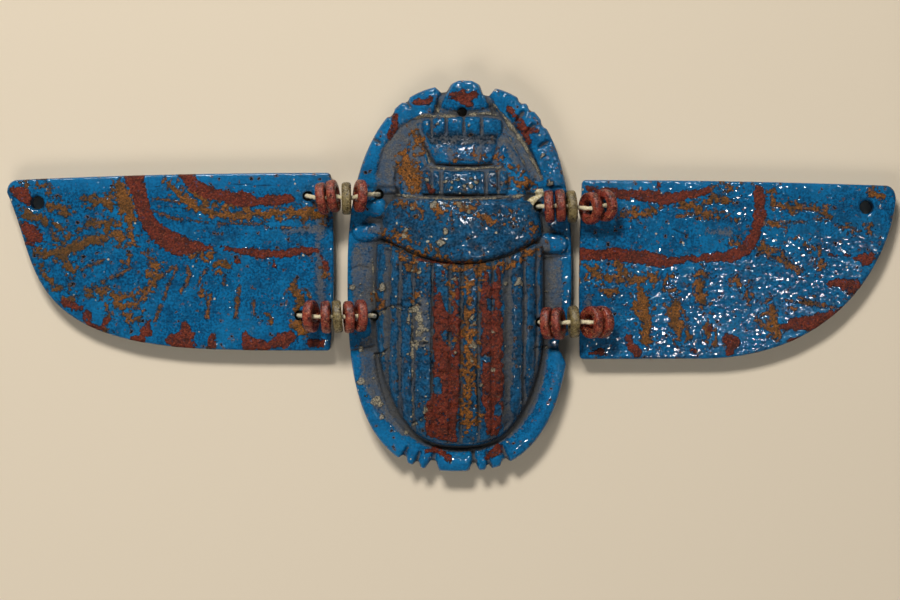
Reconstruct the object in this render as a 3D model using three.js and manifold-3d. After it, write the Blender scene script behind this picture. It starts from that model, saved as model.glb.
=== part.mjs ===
// A winged scarab pectoral of glazed faience: a carved beetle on an oval plate, two flat wings, and four
// short strings of ring beads that tie the wings to the beetle. It lies on its back, face up.
// Millimetres. +X runs to the viewer's right along the wings, +Y to the beetle's head, +Z up out of its back.
// The origin is under the middle of the whole ornament, on the surface that it lies on.
import * as THREE from "three";
import { mergeVertices } from "three/addons/utils/BufferGeometryUtils.js";
import Module from "manifold-3d";

const wasm = await Module();
wasm.setup();

// ---------------------------------------------------------------- driving dimensions
const PLATE = {
  x: 1.45, // middle of the oval plate
  halfWidth: 20.2,
  headHalf: 34.4, // middle to the head end, without its centre tooth
  tailHalf: 35.15,
  top: 4.2, // thickness where nothing is carved
  bevel: 0.6,
  points: 152,
};
// Fullness of the oval in each quarter: 2 is an ellipse, more is squarer.
const FULLNESS = { headLeft: 2.37, headRight: 2.7, tailLeft: 2.8, tailRight: 2.62 };
// Teeth and notches of the plate's two ends: place along X, half width, and how deep they cut in
// (below zero, how far they stand out).
const HEAD_TEETH = [
  { x: 2.45, half: 2.9, cut: -0.75 },
  { x: -1.5, half: 1.4, cut: 1.15 },
  { x: 6.5, half: 1.4, cut: 1.6 },
  { x: -8.2, half: 0.7, cut: 0.4 },
  { x: -10.9, half: 0.7, cut: 0.45 },
  { x: 12.6, half: 0.7, cut: 0.5 },
  { x: 14.3, half: 0.6, cut: 0.4 },
  { x: 16.6, half: 0.5, cut: 0.4 },
];
const TAIL_TEETH = [
  { x: -8.7, half: 0.8, cut: 0.9 },
  { x: -6.3, half: 0.7, cut: 0.9 },
  { x: -3.5, half: 1.3, cut: 1.7 },
  { x: 4.1, half: 0.9, cut: 1.5 },
  { x: 6.7, half: 0.6, cut: 0.8 },
  { x: 9.7, half: 0.9, cut: 0.9 },
];
// The gap in the plate's right side between the middle and the hind leg, along Y.
const SIDE_NOTCH = { y: -13.2, half: 2.6, cut: 2 };

// The swelling of the beetle's body, highest on the wing cases.
const BODY = { x: 1.6, halfWidth: 15.7, crownY: -5, frontReach: 44, rearReach: 27.5, edgeZ: 4.6, crownZ: 11 };
const SEAM_DEPTH = 1.3; // how far the seams between head, thorax and wing cases go down
const CASES = { x: 1.5, halfWidth: 14.9, shoulderY: 5.6, roundFromY: -8, tailHalf: 22.4, fullness: 2.5 };
// The flutes of the wing cases, from left to right. Those at 1.8 and 4.9 edge the strip between the cases.
const FLUTES = [
  { x: -11.5, half: 0.55 },
  { x: -9.2, half: 0.4 },
  { x: -6.8, half: 0.35 },
  { x: -3.4, half: 0.25 },
  { x: -0.3, half: 0.25 },
  { x: 1.8, half: 0.3 },
  { x: 4.9, half: 0.3 },
  { x: 7.3, half: 0.25 },
  { x: 10.1, half: 0.75 },
  { x: 13.1, half: 0.35 },
  { x: 15.35, half: 0.35 },
];
const FLUTE_DEPTH = 0.5;
const THORAX = { left: -12.6, right: 16.4, shoulderY: 7.3, rearY: 2.4, frontY: 13.7, rise: 0.3, frontDrop: 1 };
const HEAD = { frontY: 28.5, rearY: 14.2, rearZ: 8.4, frontZ: 6.6, x: 2, camber: 0.012 };
const LEG_TOP = 5.7;
const RIM_GAP = 1; // the gutter between the wing cases and the hind legs

const WING = { thickness: 4.5, bevel: 0.45, cornerRound: 0.8 };
const TIP_HOLE = { radius: 1.25 };
const STRING_HOLE = { radius: 0.9, knotRadius: 1.4, knotDepth: 1.5 };
const HEAD_HOLE = { x: 1.95, y: 29.5, radius: 0.85 };

const BEAD = { outer: 2.9, bore: 1.35, thickness: 1.55, sides: 12 };
const THREAD = { radius: 0.35, sides: 8, steps: 14, knotRadius: 1, knotHeight: 0.8, knotZ: 0.8 };

// ---------------------------------------------------------------- materials
const material = (color, roughness) => new THREE.MeshStandardMaterial({ color, roughness, metalness: 0 });
const blueGlaze = material(0x175a8c, 0.3);
const redGlaze = material(0x8a4030, 0.5);
const oliveGlaze = material(0x7d7448, 0.5);
const linen = material(0xd9cba4, 0.9);

// ---------------------------------------------------------------- solids and booleans
function solid(geometry) {
  const bare = geometry.index ? geometry.toNonIndexed() : geometry.clone();
  bare.deleteAttribute("normal");
  bare.deleteAttribute("uv");
  const merged = mergeVertices(bare, 1e-4);
  return new wasm.Manifold(
    new wasm.Mesh({
      numProp: 3,
      vertProperties: merged.attributes.position.array,
      triVerts: new Uint32Array(merged.index.array),
    }),
  );
}

function geometryOf(body) {
  const { vertProperties, triVerts } = body.getMesh();
  const geometry = new THREE.BufferGeometry()
    .setAttribute("position", new THREE.BufferAttribute(vertProperties, 3))
    .setIndex(new THREE.BufferAttribute(triVerts, 1));
  geometry.computeVertexNormals();
  return geometry;
}

const union = (bodies) => bodies.reduce((all, body) => all.add(body));

function cylinder(x, y, radius, z0, z1, sides = 14) {
  const rod = new THREE.CylinderGeometry(radius, radius, z1 - z0, sides);
  return solid(rod.rotateX(Math.PI / 2).translate(x, y, (z0 + z1) / 2));
}

// A flat slab with the outline of a shape, both of its edges eased by the same bevel.
function slab(shape, z0, z1, bevel = 0, curveSegments = 8) {
  const geometry = new THREE.ExtrudeGeometry(shape, {
    depth: z1 - z0 - 2 * bevel,
    bevelEnabled: bevel > 0,
    bevelThickness: bevel,
    bevelSize: bevel,
    bevelOffset: -bevel,
    bevelSegments: 1,
    curveSegments,
  });
  return solid(geometry.translate(0, 0, z0 + bevel));
}

// A slab whose top follows a height function, on a grid with lines at the given places along X.
function relief(shape, height, xs, rows) {
  const box = new THREE.Box2().setFromPoints(shape.getPoints(12));
  const grid = new THREE.BoxGeometry(1, box.max.y - box.min.y, 1, xs.length - 1, rows, 1);
  const place = grid.attributes.position;
  for (let i = 0; i < place.count; i++) {
    const x = xs[Math.round((place.getX(i) + 0.5) * (xs.length - 1))];
    const y = place.getY(i) + (box.min.y + box.max.y) / 2;
    place.setXYZ(i, x, y, place.getZ(i) > 0 ? height(x, y) : 1);
  }
  return solid(grid).intersect(slab(shape, 0.5, 20, 0, 12));
}

function evenly(from, to, count) {
  return Array.from({ length: count + 1 }, (_, i) => from + ((to - from) * i) / count);
}

const polygon = (points) => new THREE.Shape(points.map(([x, y]) => new THREE.Vector2(x, y)));

// ---------------------------------------------------------------- the scarab's outline and heights
const flatTopped = (u) => Math.min(1, Math.max(0, 1.6 * (1 - Math.abs(u))));

// The oval plate's edge, with the head's teeth and the notches between the feet and between two legs.
function plateOutline() {
  return evenly(0, 2 * Math.PI, PLATE.points).slice(0, -1).map((angle) => {
    const c = Math.cos(angle);
    const s = Math.sin(angle);
    const side = c < 0 ? "Left" : "Right";
    const power = 2 / FULLNESS[(s < 0 ? "tail" : "head") + side];
    const x = PLATE.halfWidth * Math.sign(c) * Math.abs(c) ** power;
    const y = (s < 0 ? PLATE.tailHalf : PLATE.headHalf) * Math.sign(s) * Math.abs(s) ** power;
    const teeth = s < 0 ? TAIL_TEETH : HEAD_TEETH;
    const cut = teeth.reduce((sum, t) => sum + t.cut * flatTopped((x + PLATE.x - t.x) / t.half), 0);
    const notch = c > 0 ? SIDE_NOTCH.cut * flatTopped((y - SIDE_NOTCH.y) / SIDE_NOTCH.half) : 0;
    const keep = 1 - (cut + notch) / Math.hypot(x, y);
    return [PLATE.x + x * keep, y * keep];
  });
}

// The beetle's body without seams or flutes.
function bodyHeight(x, y) {
  const across = (x - BODY.x) / BODY.halfWidth;
  const along = (y - BODY.crownY) / (y > BODY.crownY ? BODY.frontReach : BODY.rearReach);
  const rise = Math.sqrt(Math.max(0, 1 - across ** 2 - along ** 2));
  return BODY.edgeZ + (BODY.crownZ - BODY.edgeZ) * rise;
}

function casesShape(offset = 0) {
  const half = CASES.halfWidth + offset;
  const tail = CASES.tailHalf + offset;
  const round = evenly(Math.PI, 2 * Math.PI, 26).map((angle) => {
    const c = Math.cos(angle);
    const power = 2 / CASES.fullness;
    const x = CASES.x + half * Math.sign(c) * Math.abs(c) ** power;
    return [x, CASES.roundFromY - tail * Math.abs(Math.sin(angle)) ** power];
  });
  return polygon([...round, [CASES.x + half, CASES.shoulderY], [CASES.x - half, CASES.shoulderY]]);
}

// ---------------------------------------------------------------- the scarab's carved parts
function thoraxShape(offset = 0) {
  const { left, right, shoulderY, rearY, frontY } = THORAX;
  const middle = (left + right) / 2;
  const rear = 2 * (rearY - offset) - shoulderY;
  return new THREE.Shape()
    .moveTo(left - offset, shoulderY)
    .quadraticCurveTo(middle, rear, right + offset, shoulderY)
    .quadraticCurveTo(right + 0.2, frontY - 0.8, right - 2.6, frontY - 0.3)
    .lineTo(left + 3, frontY + 0.2)
    .quadraticCurveTo(left - 0.3, frontY - 0.9, left - offset, shoulderY);
}

function wingCases() {
  const edges = FLUTES.flatMap(({ x, half }) => [x - half, x, x + half]);
  const xs = [CASES.x - CASES.halfWidth - 0.5, ...edges, CASES.x + CASES.halfWidth + 0.5];
  const height = (x, y) => bodyHeight(x, y) - (FLUTES.some((flute) => flute.x === x) ? FLUTE_DEPTH : 0);
  return relief(casesShape(), height, xs, 10).subtract(slab(thoraxShape(0.6), 0.5, 20));
}

function thorax() {
  const { frontY, rearY, rise, frontDrop } = THORAX;
  const height = (x, y) => {
    const forward = (y - rearY) / (frontY - rearY);
    return bodyHeight(x, y) + rise - frontDrop * Math.max(0, forward) ** 2;
  };
  return relief(thoraxShape(), height, evenly(THORAX.left - 1, THORAX.right + 1, 12), 6);
}

function headHeight(x, y) {
  const forward = (y - HEAD.rearY) / (HEAD.frontY - HEAD.rearY);
  return HEAD.rearZ + (HEAD.frontZ - HEAD.rearZ) * forward - HEAD.camber * (x - HEAD.x) ** 2;
}

function headPiece(points, lift) {
  const xs = points.map(([x]) => x);
  const height = (x, y) => headHeight(x, y) + lift;
  return relief(polygon(points), height, evenly(Math.min(...xs), Math.max(...xs), 3), 2);
}

const FACE_PLATE = [[-2.4, 20], [7, 20], [8.1, 25.2], [-4.7, 25.2]];
const FACE_GROUND = [[-9.4, 14.8], [14.2, 14.8], [8.4, 28], [-5.2, 28]];
// From and to along X.
const LOBES = [[-5.4, -3.4], [-3, -1.1], [-0.7, 2], [2.4, 5.2], [5.6, 8.9]];
const SEGMENTS = [[-5.2, -2], [-1.5, 5.9], [6.4, 9.8]];
const CHEEKS = [
  [[-9.8, 15.6], [-8.4, 14.4], [-5.6, 14.4], [-3.3, 19.7], [-5.4, 24.6], [-7.4, 25], [-9.4, 21]],
  [[10.2, 14.4], [13, 14.4], [14.7, 16.4], [11.6, 22], [9, 25], [7.6, 19.7]],
];

// The spade-shaped face plate with its row of lobes, the segments behind it, and the cheeks at its sides.
function head() {
  const facePlate = headPiece(FACE_PLATE, 0);
  const lobes = LOBES.map(([x0, x1]) =>
    headPiece([[x0 + 0.3, 25], [x1 - 0.3, 25], [x1, HEAD.frontY], [x0, HEAD.frontY]], 0.3),
  );
  const segments = SEGMENTS.map(([x0, x1]) =>
    headPiece([[x0, HEAD.rearY], [x1, HEAD.rearY], [x1, 18.9], [x0, 18.9]], 0.2),
  );
  const cheeks = CHEEKS.map((outline) => headPiece(outline, -0.6));
  const ground = headPiece(FACE_GROUND, -SEAM_DEPTH);
  return union([ground, facePlate, ...cheeks, ...lobes, ...segments]);
}

// Plan outlines that part the raised edge of the plate into legs, and the small legs that cross it.
const HIND_FIELD = [[-25, -14.6], [-13, -13.6], [16.2, -12.8], [25, -14.2], [25, -40], [-25, -40]];
const FRONT_FIELD = [[-25, 16.2], [25, 15], [25, 40], [-25, 40]];
const HEAD_FIELD = [
  [-13.6, 16.2], [-12.6, 22], [-6.4, 28.3], [-2.3, 29.2], [-1.3, 34], [6.3, 34], [7.2, 30.6], [17, 15.4],
];
const CLYPEUS = [[-2, 29.6], [-0.9, 36], [6, 36], [7, 29.6]];
const SMALL_LEGS = [
  [[-17.3, 7.2], [-16.4, 6.2], [-12, 6.6], [-12, 9.6], [-17, 9.2]],
  [[14, 4.6], [21, 4.6], [21.2, 6.4], [20, 7.6], [14, 7.6]],
  [[-16, 10.9], [-12, 10.4], [-12, 13.9], [-15.4, 13.5]],
];

// Everything carved above the plate at its edge: legs folded against the sides and round the ends.
function legs(plateShape) {
  const band = slab(plateShape, 1, LEG_TOP, PLATE.bevel);
  const within = (outline) => slab(polygon(outline), 0.5, 10);
  const hind = band.intersect(within(HIND_FIELD)).subtract(slab(casesShape(RIM_GAP), 0.5, 10));
  const front = band.intersect(within(FRONT_FIELD)).subtract(within(HEAD_FIELD));
  const clypeus = band.intersect(within(CLYPEUS));
  const small = SMALL_LEGS.map((outline) => slab(polygon(outline), 1, LEG_TOP - 0.3, 0.4));
  return union([hind, front, clypeus, ...small]);
}

// ---------------------------------------------------------------- places of the strings
// Each string runs from a hole in a wing, through its beads, to a hole in the scarab. Beads are given from
// the wing's end. Turn is a bead's lean in plan and tilt is how far it faces up, both in degrees: above zero
// the bead's +Y side leans towards -X, and its face that looks up is the one towards -X. Lift is how far it
// stands above its neighbours. Bend is where the string turns down into the scarab's hole.
const STRINGS = [
  {
    name: "upper_left",
    wingHole: [-25.9, 14.4],
    scarabHole: [-13.1, 14.7],
    bend: [-14, 14.7, 6.4],
    beads: [
      { at: [-23.1, 13.85], turn: 9, tilt: -8 },
      { at: [-21.15, 14.3], turn: 8, tilt: -9 },
      { at: [-18.8, 13.85], turn: 1, tilt: 1, olive: true },
      { at: [-16.35, 14.3], turn: -2, tilt: 14, lift: 0.6 },
    ],
  },
  {
    name: "lower_left",
    wingHole: [-27.4, -7.1],
    scarabHole: [-13.9, -7.2],
    bend: [-14.5, -7.1, 6.6],
    beads: [
      { at: [-25.1, -7.25], turn: 1, tilt: -18 },
      { at: [-22.45, -7.35], turn: 2, tilt: -2 },
      { at: [-20.45, -7.25], turn: 5, tilt: 2, olive: true },
      { at: [-18.4, -7.35], turn: 3, tilt: 8 },
      { at: [-16.3, -7.15], turn: 0, tilt: 14 },
    ],
  },
  {
    name: "upper_right",
    wingHole: [28.7, 12.8],
    scarabHole: [15.6, 12.5],
    bend: [16.1, 12.5, 6.6],
    beads: [
      { at: [27.5, 12.6], turn: 5, tilt: 32 },
      { at: [24.9, 12.1], turn: 4, tilt: 30 },
      { at: [21.5, 12.4], turn: 4, tilt: 4, olive: true },
      { at: [19.5, 12.6], turn: 3, tilt: 1 },
      { at: [17.5, 12.4], turn: 3, tilt: -3 },
    ],
  },
  {
    name: "lower_right",
    wingHole: [28.1, -8.2],
    scarabHole: [15.95, -8.3],
    bend: [15.85, -8.3, 6.5],
    beads: [
      { at: [27, -8.25], turn: 3, tilt: 30 },
      { at: [24.8, -8.3], turn: 3, tilt: 30 },
      { at: [21.85, -8.2], turn: 3, tilt: 6, olive: true },
      { at: [19.15, -8.5], turn: 3, tilt: -16 },
      { at: [17.25, -8.5], turn: 3, tilt: -17 },
    ],
  },
];

const stringHoles = (end) => STRINGS.map((string) => ({ string: string.name, at: string[end] }));

// A hole right through for a string, wider behind where its knot sits.
function drillForString(body, [x, y]) {
  const bore = cylinder(x, y, STRING_HOLE.radius, -1, 20, 10);
  const seat = cylinder(x, y, STRING_HOLE.knotRadius, -1, STRING_HOLE.knotDepth, 10);
  return body.subtract(bore).subtract(seat);
}

// ---------------------------------------------------------------- the pieces
function scarab() {
  const plateShape = polygon(plateOutline());
  const plate = slab(plateShape, 0, PLATE.top, PLATE.bevel);
  const core = relief(casesShape(-0.3), (x, y) => bodyHeight(x, y) - SEAM_DEPTH, evenly(-14, 17, 8), 8);
  const neck = slab(polygon([[-9, 4], [13, 4], [13, 15], [-9, 15]]), 1, BODY.edgeZ + 1);
  const carved = union([plate, core, neck, wingCases(), thorax(), head(), legs(plateShape)]);
  const pierced = carved.subtract(cylinder(HEAD_HOLE.x, HEAD_HOLE.y, HEAD_HOLE.radius, -1, 20, 10));
  return stringHoles("scarabHole").reduce((body, hole) => drillForString(body, hole.at), pierced);
}

// A wing is a flat slab: straight along the shoulder and against the beetle, curved along its feathers.
function wing({ tip, inner, trailing, tipHole }, side) {
  const r = WING.cornerRound;
  const [topX, topY] = inner.top;
  const [bottomX, bottomY] = inner.bottom;
  const toTip = Math.sign(tip.x);
  const shape = new THREE.Shape()
    .moveTo(topX, topY - r)
    .quadraticCurveTo(topX, topY, topX + toTip * r, topY)
    .quadraticCurveTo(inner.shoulderX, topY, tip.x - toTip * 1.6, tip.y + 0.4)
    .quadraticCurveTo(tip.x, tip.y, tip.x, trailing.fromY)
    .bezierCurveTo(...trailing.bend, ...trailing.to)
    .lineTo(bottomX + toTip * r, bottomY)
    .quadraticCurveTo(bottomX, bottomY, bottomX, bottomY + r)
    .lineTo(inner.bulgeX, (topY + bottomY) / 2);
  const blank = slab(shape, 0, WING.thickness, WING.bevel, 14);
  const pierced = blank.subtract(cylinder(...tipHole, TIP_HOLE.radius, -1, 20));
  const holes = stringHoles("wingHole").filter((hole) => hole.string.endsWith(side));
  return holes.reduce((body, hole) => drillForString(body, hole.at), pierced);
}

const LEFT_WING = {
  tip: { x: -80.1, y: 16.9 },
  inner: { top: [-21.7, 18.6], bottom: [-21.8, -13.5], bulgeX: -21.2, shoulderX: -52 },
  trailing: { fromY: 15, bend: [-74, 1.8, -78.4, -12.7], to: [-40, -13.3] },
  tipHole: [-74.6, 13.2],
};
const RIGHT_WING = {
  tip: { x: 80.1, y: 15.9 },
  inner: { top: [23.5, 17.3], bottom: [23.1, -15], bulgeX: 22.9, shoulderX: 52 },
  trailing: { fromY: 13.6, bend: [79.4, 5.3, 71.4, -16], to: [42.5, -14.9] },
  tipHole: [74.8, 12.4],
};

// A ring bead standing on edge, its axis along X.
function ringBead() {
  const { outer, bore, thickness, sides } = BEAD;
  const half = thickness / 2;
  const profile = [
    [bore, -half + 0.2], [outer - 0.45, -half], [outer, -half + 0.4],
    [outer, half - 0.4], [outer - 0.45, half], [bore, half - 0.2], [bore, -half + 0.2],
  ].map(([r, along]) => new THREE.Vector2(r, along));
  return new THREE.LatheGeometry(profile, sides).rotateZ(-Math.PI / 2);
}

const degrees = THREE.MathUtils.degToRad;

// The middle of a bead whose lowest corner just clears the wings.
function beadMiddle({ at, tilt, lift = 0 }) {
  const angle = degrees(Math.abs(tilt));
  const reach = BEAD.outer * Math.cos(angle) + (BEAD.thickness / 2) * Math.sin(angle);
  return new THREE.Vector3(...at, WING.thickness + 0.25 + lift + reach);
}

function beads(string) {
  return string.beads.map((place, index) => {
    const bead = new THREE.Mesh(ringBead(), place.olive ? oliveGlaze : redGlaze);
    bead.name = `bead_${string.name}_${index + 1}`;
    bead.position.copy(beadMiddle(place));
    bead.rotation.set(0, degrees(place.tilt), degrees(place.turn), "ZYX");
    return bead;
  });
}

// The linen thread of one string: up out of the wing, through every bead, down into the scarab, with a knot
// behind each hole.
function thread({ name, wingHole, scarabHole, bend, beads: places }) {
  const inHole = (hole, z) => new THREE.Vector3(...hole, z);
  const points = [
    inHole(wingHole, THREAD.knotZ),
    inHole(wingHole, WING.thickness - 0.2),
    ...places.map((place) => beadMiddle(place).add(new THREE.Vector3(0, 0, 0.1))),
    new THREE.Vector3(...bend),
    inHole(scarabHole, PLATE.top - 0.4),
    inHole(scarabHole, THREAD.knotZ),
  ];
  const section = new THREE.Shape().absarc(0, 0, THREAD.radius, 0, 2 * Math.PI);
  const tube = new THREE.ExtrudeGeometry(section, {
    steps: THREAD.steps,
    curveSegments: THREAD.sides / 2,
    bevelEnabled: false,
    extrudePath: new THREE.CatmullRomCurve3(points),
  });
  const knots = [wingHole, scarabHole].map(([x, y]) => {
    const half = THREAD.knotHeight / 2;
    return cylinder(x, y, THREAD.knotRadius, THREAD.knotZ - half, THREAD.knotZ + half, 8);
  });
  const mesh = new THREE.Mesh(geometryOf(union([solid(tube), ...knots])), linen);
  mesh.name = `thread_${name}`;
  return mesh;
}

function named(name, body, finish) {
  const mesh = new THREE.Mesh(geometryOf(body), finish);
  mesh.name = name;
  return mesh;
}

const pectoral = new THREE.Group();
pectoral.add(
  named("scarab", scarab(), blueGlaze),
  named("wing_left", wing(LEFT_WING, "left"), blueGlaze),
  named("wing_right", wing(RIGHT_WING, "right"), blueGlaze),
  ...STRINGS.flatMap(beads),
  ...STRINGS.map(thread),
);

export default pectoral;
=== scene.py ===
import math

import bpy
import numpy as np
from mathutils import Euler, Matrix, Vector
from mathutils.geometry import delaunay_2d_cdt


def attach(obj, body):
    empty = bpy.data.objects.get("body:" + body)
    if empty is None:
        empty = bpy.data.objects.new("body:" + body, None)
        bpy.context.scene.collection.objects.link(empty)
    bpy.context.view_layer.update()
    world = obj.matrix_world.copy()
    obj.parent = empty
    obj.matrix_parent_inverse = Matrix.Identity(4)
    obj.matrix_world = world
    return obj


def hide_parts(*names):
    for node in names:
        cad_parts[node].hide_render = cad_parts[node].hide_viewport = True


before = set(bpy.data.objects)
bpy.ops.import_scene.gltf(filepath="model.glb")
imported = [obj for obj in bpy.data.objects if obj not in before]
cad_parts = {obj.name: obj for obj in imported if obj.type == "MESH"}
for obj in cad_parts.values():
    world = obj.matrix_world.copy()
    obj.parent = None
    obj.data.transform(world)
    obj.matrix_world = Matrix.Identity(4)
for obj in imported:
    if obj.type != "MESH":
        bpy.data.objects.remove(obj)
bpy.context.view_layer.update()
MM = 0.001

# ---------------------------------------------------------------- sizes and places, in millimetres
PLATE_X = 1.45  # middle of the scarab's oval plate
PLATE_HALF = {"width": 20.2, "head": 34.4, "tail": 35.15}
PLATE_TOP = 4.2
PLATE_POINTS = 760
FULLNESS = {"head_left": 2.37, "head_right": 2.7, "tail_left": 2.8, "tail_right": 2.62}
# (x, half width, depth) of the teeth and notches at each end; below zero they stand out.
HEAD_TEETH = [(2.45, 2.9, -0.75), (-1.5, 1.4, 1.15), (6.5, 1.4, 1.6), (-8.2, 0.7, 0.4)]
HEAD_TEETH += [(-10.9, 0.7, 0.45), (12.6, 0.7, 0.5), (14.3, 0.6, 0.4), (16.6, 0.5, 0.4)]
TAIL_TEETH = [(-8.7, 0.8, 0.9), (-6.3, 0.7, 0.9), (-3.5, 1.3, 1.7), (4.1, 0.9, 1.5)]
TAIL_TEETH += [(6.7, 0.6, 0.8), (9.7, 0.9, 0.9)]
SIDE_NOTCH = {"y": -13.2, "half": 2.6, "cut": 2}  # between the middle and the hind leg, on the right

BODY = {"x": 1.6, "half": 15.7, "crown_y": -5, "front": 44, "rear": 27.5, "edge_z": 4.6, "crown_z": 11}
CASES = {"x": 1.5, "half": 14.9, "shoulder_y": 5.6, "round_y": -8, "tail": 22.4, "fullness": 2.5}
THORAX = {"left": -12.6, "right": 16.4, "shoulder_y": 7.3, "rear_y": 2.4, "front_y": 13.7}
# Place along X and half width of each groove of the wing cases.
FLUTES = [(-11.5, 0.6), (-9.2, 0.42), (-6.8, 0.36), (-3.4, 0.26), (-0.3, 0.26), (1.8, 0.32)]
FLUTES += [(4.9, 0.32), (7.3, 0.26), (10.1, 0.85), (13.1, 0.4), (15.35, 0.36)]
FLUTE_DEPTH = 0.8
SEAM_DEPTH = 1.3
HEAD = {"rear_y": 14.2, "front_y": 28.5, "rear_z": 8.4, "front_z": 6.6, "x": 2, "camber": 0.012}
LEG_TOP = 5.7
HEAD_GROUND = 5.1
RIM_GAP = 0.6

WING_THICKNESS = 4.5
SPACING = 0.21  # between the points of a carved upper side
RIM_SPACING = 0.25
UNDER_SPACING = 1.6
EDGE_ROUND = 0.55
RIM_ANGLES = (25, 45, 65, 90)  # of the rows of points on the rounded rim, in degrees
WALL_ROWS = 8  # of points, up the side
FOOT = {"level": 0.3, "bevel": 0.35}  # the small slope between a slab's side and its underside
CIRCLE_POINTS = 40
BORE_LEVEL = 2.6  # of the row of points within a bore
HOLE_LIP = {"depth": 0.35, "reach": 0.18}  # how the glaze sinks towards a hole
STRING_HOLE = {"radius": 0.9, "seat": 1.4, "seat_depth": 1.5}
TIP_HOLE_RADIUS = 1.25
HEAD_HOLE = {"at": (1.95, 29.5), "radius": 0.85}
SHARP_ANGLE = 60

BEAD = {"outer": 2.95, "bore": 1.35, "thickness": 1.75}
BEAD_GAP = 0.25  # between the wings' upper side and the beads
OLIVE_NUMBER = 3  # which bead of each string is olive
THREAD_RADIUS = 0.41
TWIST_LENGTH = 2.6
KNOT = {"radius": 0.95, "height": 0.75, "z": 0.8}

FAR = 9.0  # a distance beyond the reach of any stroke
PAINT_END = 4  # the level down the sides where paint stops
UNDERSIDE_WEAR = 0.55

# The strings: where each leaves the wing and enters the scarab, the last bend of its thread, and its beads
# from the wing's end, as (x, y, turn, tilt, lift). The third bead of each is olive.
STRINGS = {
    "upper_left": {
        "wing_hole": (-25.9, 14.4), "scarab_hole": (-13.1, 14.7), "bend": (-14, 14.7, 6.4),
        "beads": [(-23.1, 13.85, 9, -8, 0), (-21.15, 14.3, 8, -9, 0), (-18.8, 13.85, 1, 1, 0),
                  (-16.35, 14.3, -2, 14, 0.6)],
    },
    "lower_left": {
        "wing_hole": (-27.4, -7.1), "scarab_hole": (-13.9, -7.2), "bend": (-14.5, -7.1, 6.6),
        "beads": [(-25.1, -7.25, 1, -18, 0), (-22.45, -7.35, 2, -2, 0), (-20.45, -7.25, 5, 2, 0),
                  (-18.4, -7.35, 3, 8, 0), (-16.3, -7.15, 0, 14, 0)],
    },
    "upper_right": {
        "wing_hole": (28.7, 12.8), "scarab_hole": (15.6, 12.5), "bend": (16.1, 12.5, 6.6),
        "beads": [(27.5, 12.6, 5, 34, 0), (24.9, 12.1, 4, 33, 0), (21.5, 12.4, 4, 4, 0),
                  (19.5, 12.6, 3, 1, 0), (17.5, 12.4, 3, -3, 0)],
    },
    "lower_right": {
        "wing_hole": (28.1, -8.2), "scarab_hole": (15.95, -8.3), "bend": (15.85, -8.3, 6.5),
        "beads": [(26.9, -8.25, 3, 35, 0), (25.05, -8.3, 3, 35, 0.5), (21.85, -8.2, 3, 6, 0),
                  (19.15, -8.5, 3, -16, 0), (17.25, -8.5, 3, -17, 0)],
    },
}

CAMERA_PLACE = (-0.27, -4.32)
CAMERA_HEIGHT = 600
VIEW_WIDTH = 162  # how much of the floor's plane the picture takes in


# ---------------------------------------------------------------- fields over the plane
def blended(table, i, j, s, t):
    """Values of a table that repeats, s and t of the way from row i and column j to the next ones."""
    rows, columns = table.shape
    i, i2 = i % rows, (i + 1) % rows
    j, j2 = j % columns, (j + 1) % columns
    low = table[i, j] * (1 - s) + table[i2, j] * s
    high = table[i, j2] * (1 - s) + table[i2, j2] * s
    return low * (1 - t) + high * t


def lattice_noise(x, y, size, seed):
    """Smooth random values from -1 to 1 that change over about size millimetres."""
    table = np.random.default_rng(seed).uniform(-1, 1, (256, 256))
    u, v = x / size + 512, y / size + 512
    i, j = np.floor(u).astype(int), np.floor(v).astype(int)
    return blended(table, i, j, smoothstep(0, 1, u - i), smoothstep(0, 1, v - j))


def rough_noise(x, y, size, seed, octaves=3):
    """Lattice noise with finer and weaker copies of itself on top."""
    total = sum(lattice_noise(x, y, size / 2**k, seed + k) / 2**k for k in range(octaves))
    return total / 1.5


def smoothstep(low, high, value):
    t = np.clip((value - low) / (high - low), 0, 1)
    return t * t * (3 - 2 * t)


def smooth_max(a, b, blend=0.12):
    """The higher of two surfaces, with the crease between them filled a little, as glaze fills it."""
    near = np.clip(blend - np.abs(a - b), 0, None) / blend
    return np.maximum(a, b) + near * near * blend / 4


def from_segment(x, y, start, end):
    """Steps in x and y from the nearest point of a segment, and how far along it that point lies."""
    ex, ey = end[0] - start[0], end[1] - start[1]
    t = np.clip(((x - start[0]) * ex + (y - start[1]) * ey) / (ex * ex + ey * ey), 0, 1)
    return x - start[0] - t * ex, y - start[1] - t * ey, t


def stroke_distance(x, y, strokes):
    """Distance to the edge of the nearest stroke, below zero inside; its points are (x, y, half width)."""
    best = np.full(np.shape(x), FAR)
    for stroke in strokes:
        for start, end in zip(stroke, stroke[1:]):
            across, up, t = from_segment(x, y, start, end)
            best = np.minimum(best, np.hypot(across, up) - (start[2] + t * (end[2] - start[2])))
    return best


def polygon_distance(x, y, points):
    """Distance to a closed outline, below zero inside it."""
    best = np.full(np.shape(x), np.inf)
    inside = np.zeros(np.shape(x), bool)
    for start, end in zip(points, np.roll(points, -1, axis=0)):
        across, up, _ = from_segment(x, y, start, end)
        best = np.minimum(best, across**2 + up**2)
        if start[1] != end[1]:
            crossing = start[0] + (y - start[1]) * (end[0] - start[0]) / (end[1] - start[1])
            inside ^= ((start[1] > y) != (end[1] > y)) & (x < crossing)
    return np.where(inside, -1, 1) * np.sqrt(best)


def softened(points, rounds=2):
    """A closed outline with its corners cut off again and again."""
    p = np.array(points, float)
    for _ in range(rounds):
        after = np.roll(p, -1, axis=0)
        p = np.stack([0.75 * p + 0.25 * after, 0.25 * p + 0.75 * after], 1).reshape(-1, 2)
    return p


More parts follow.
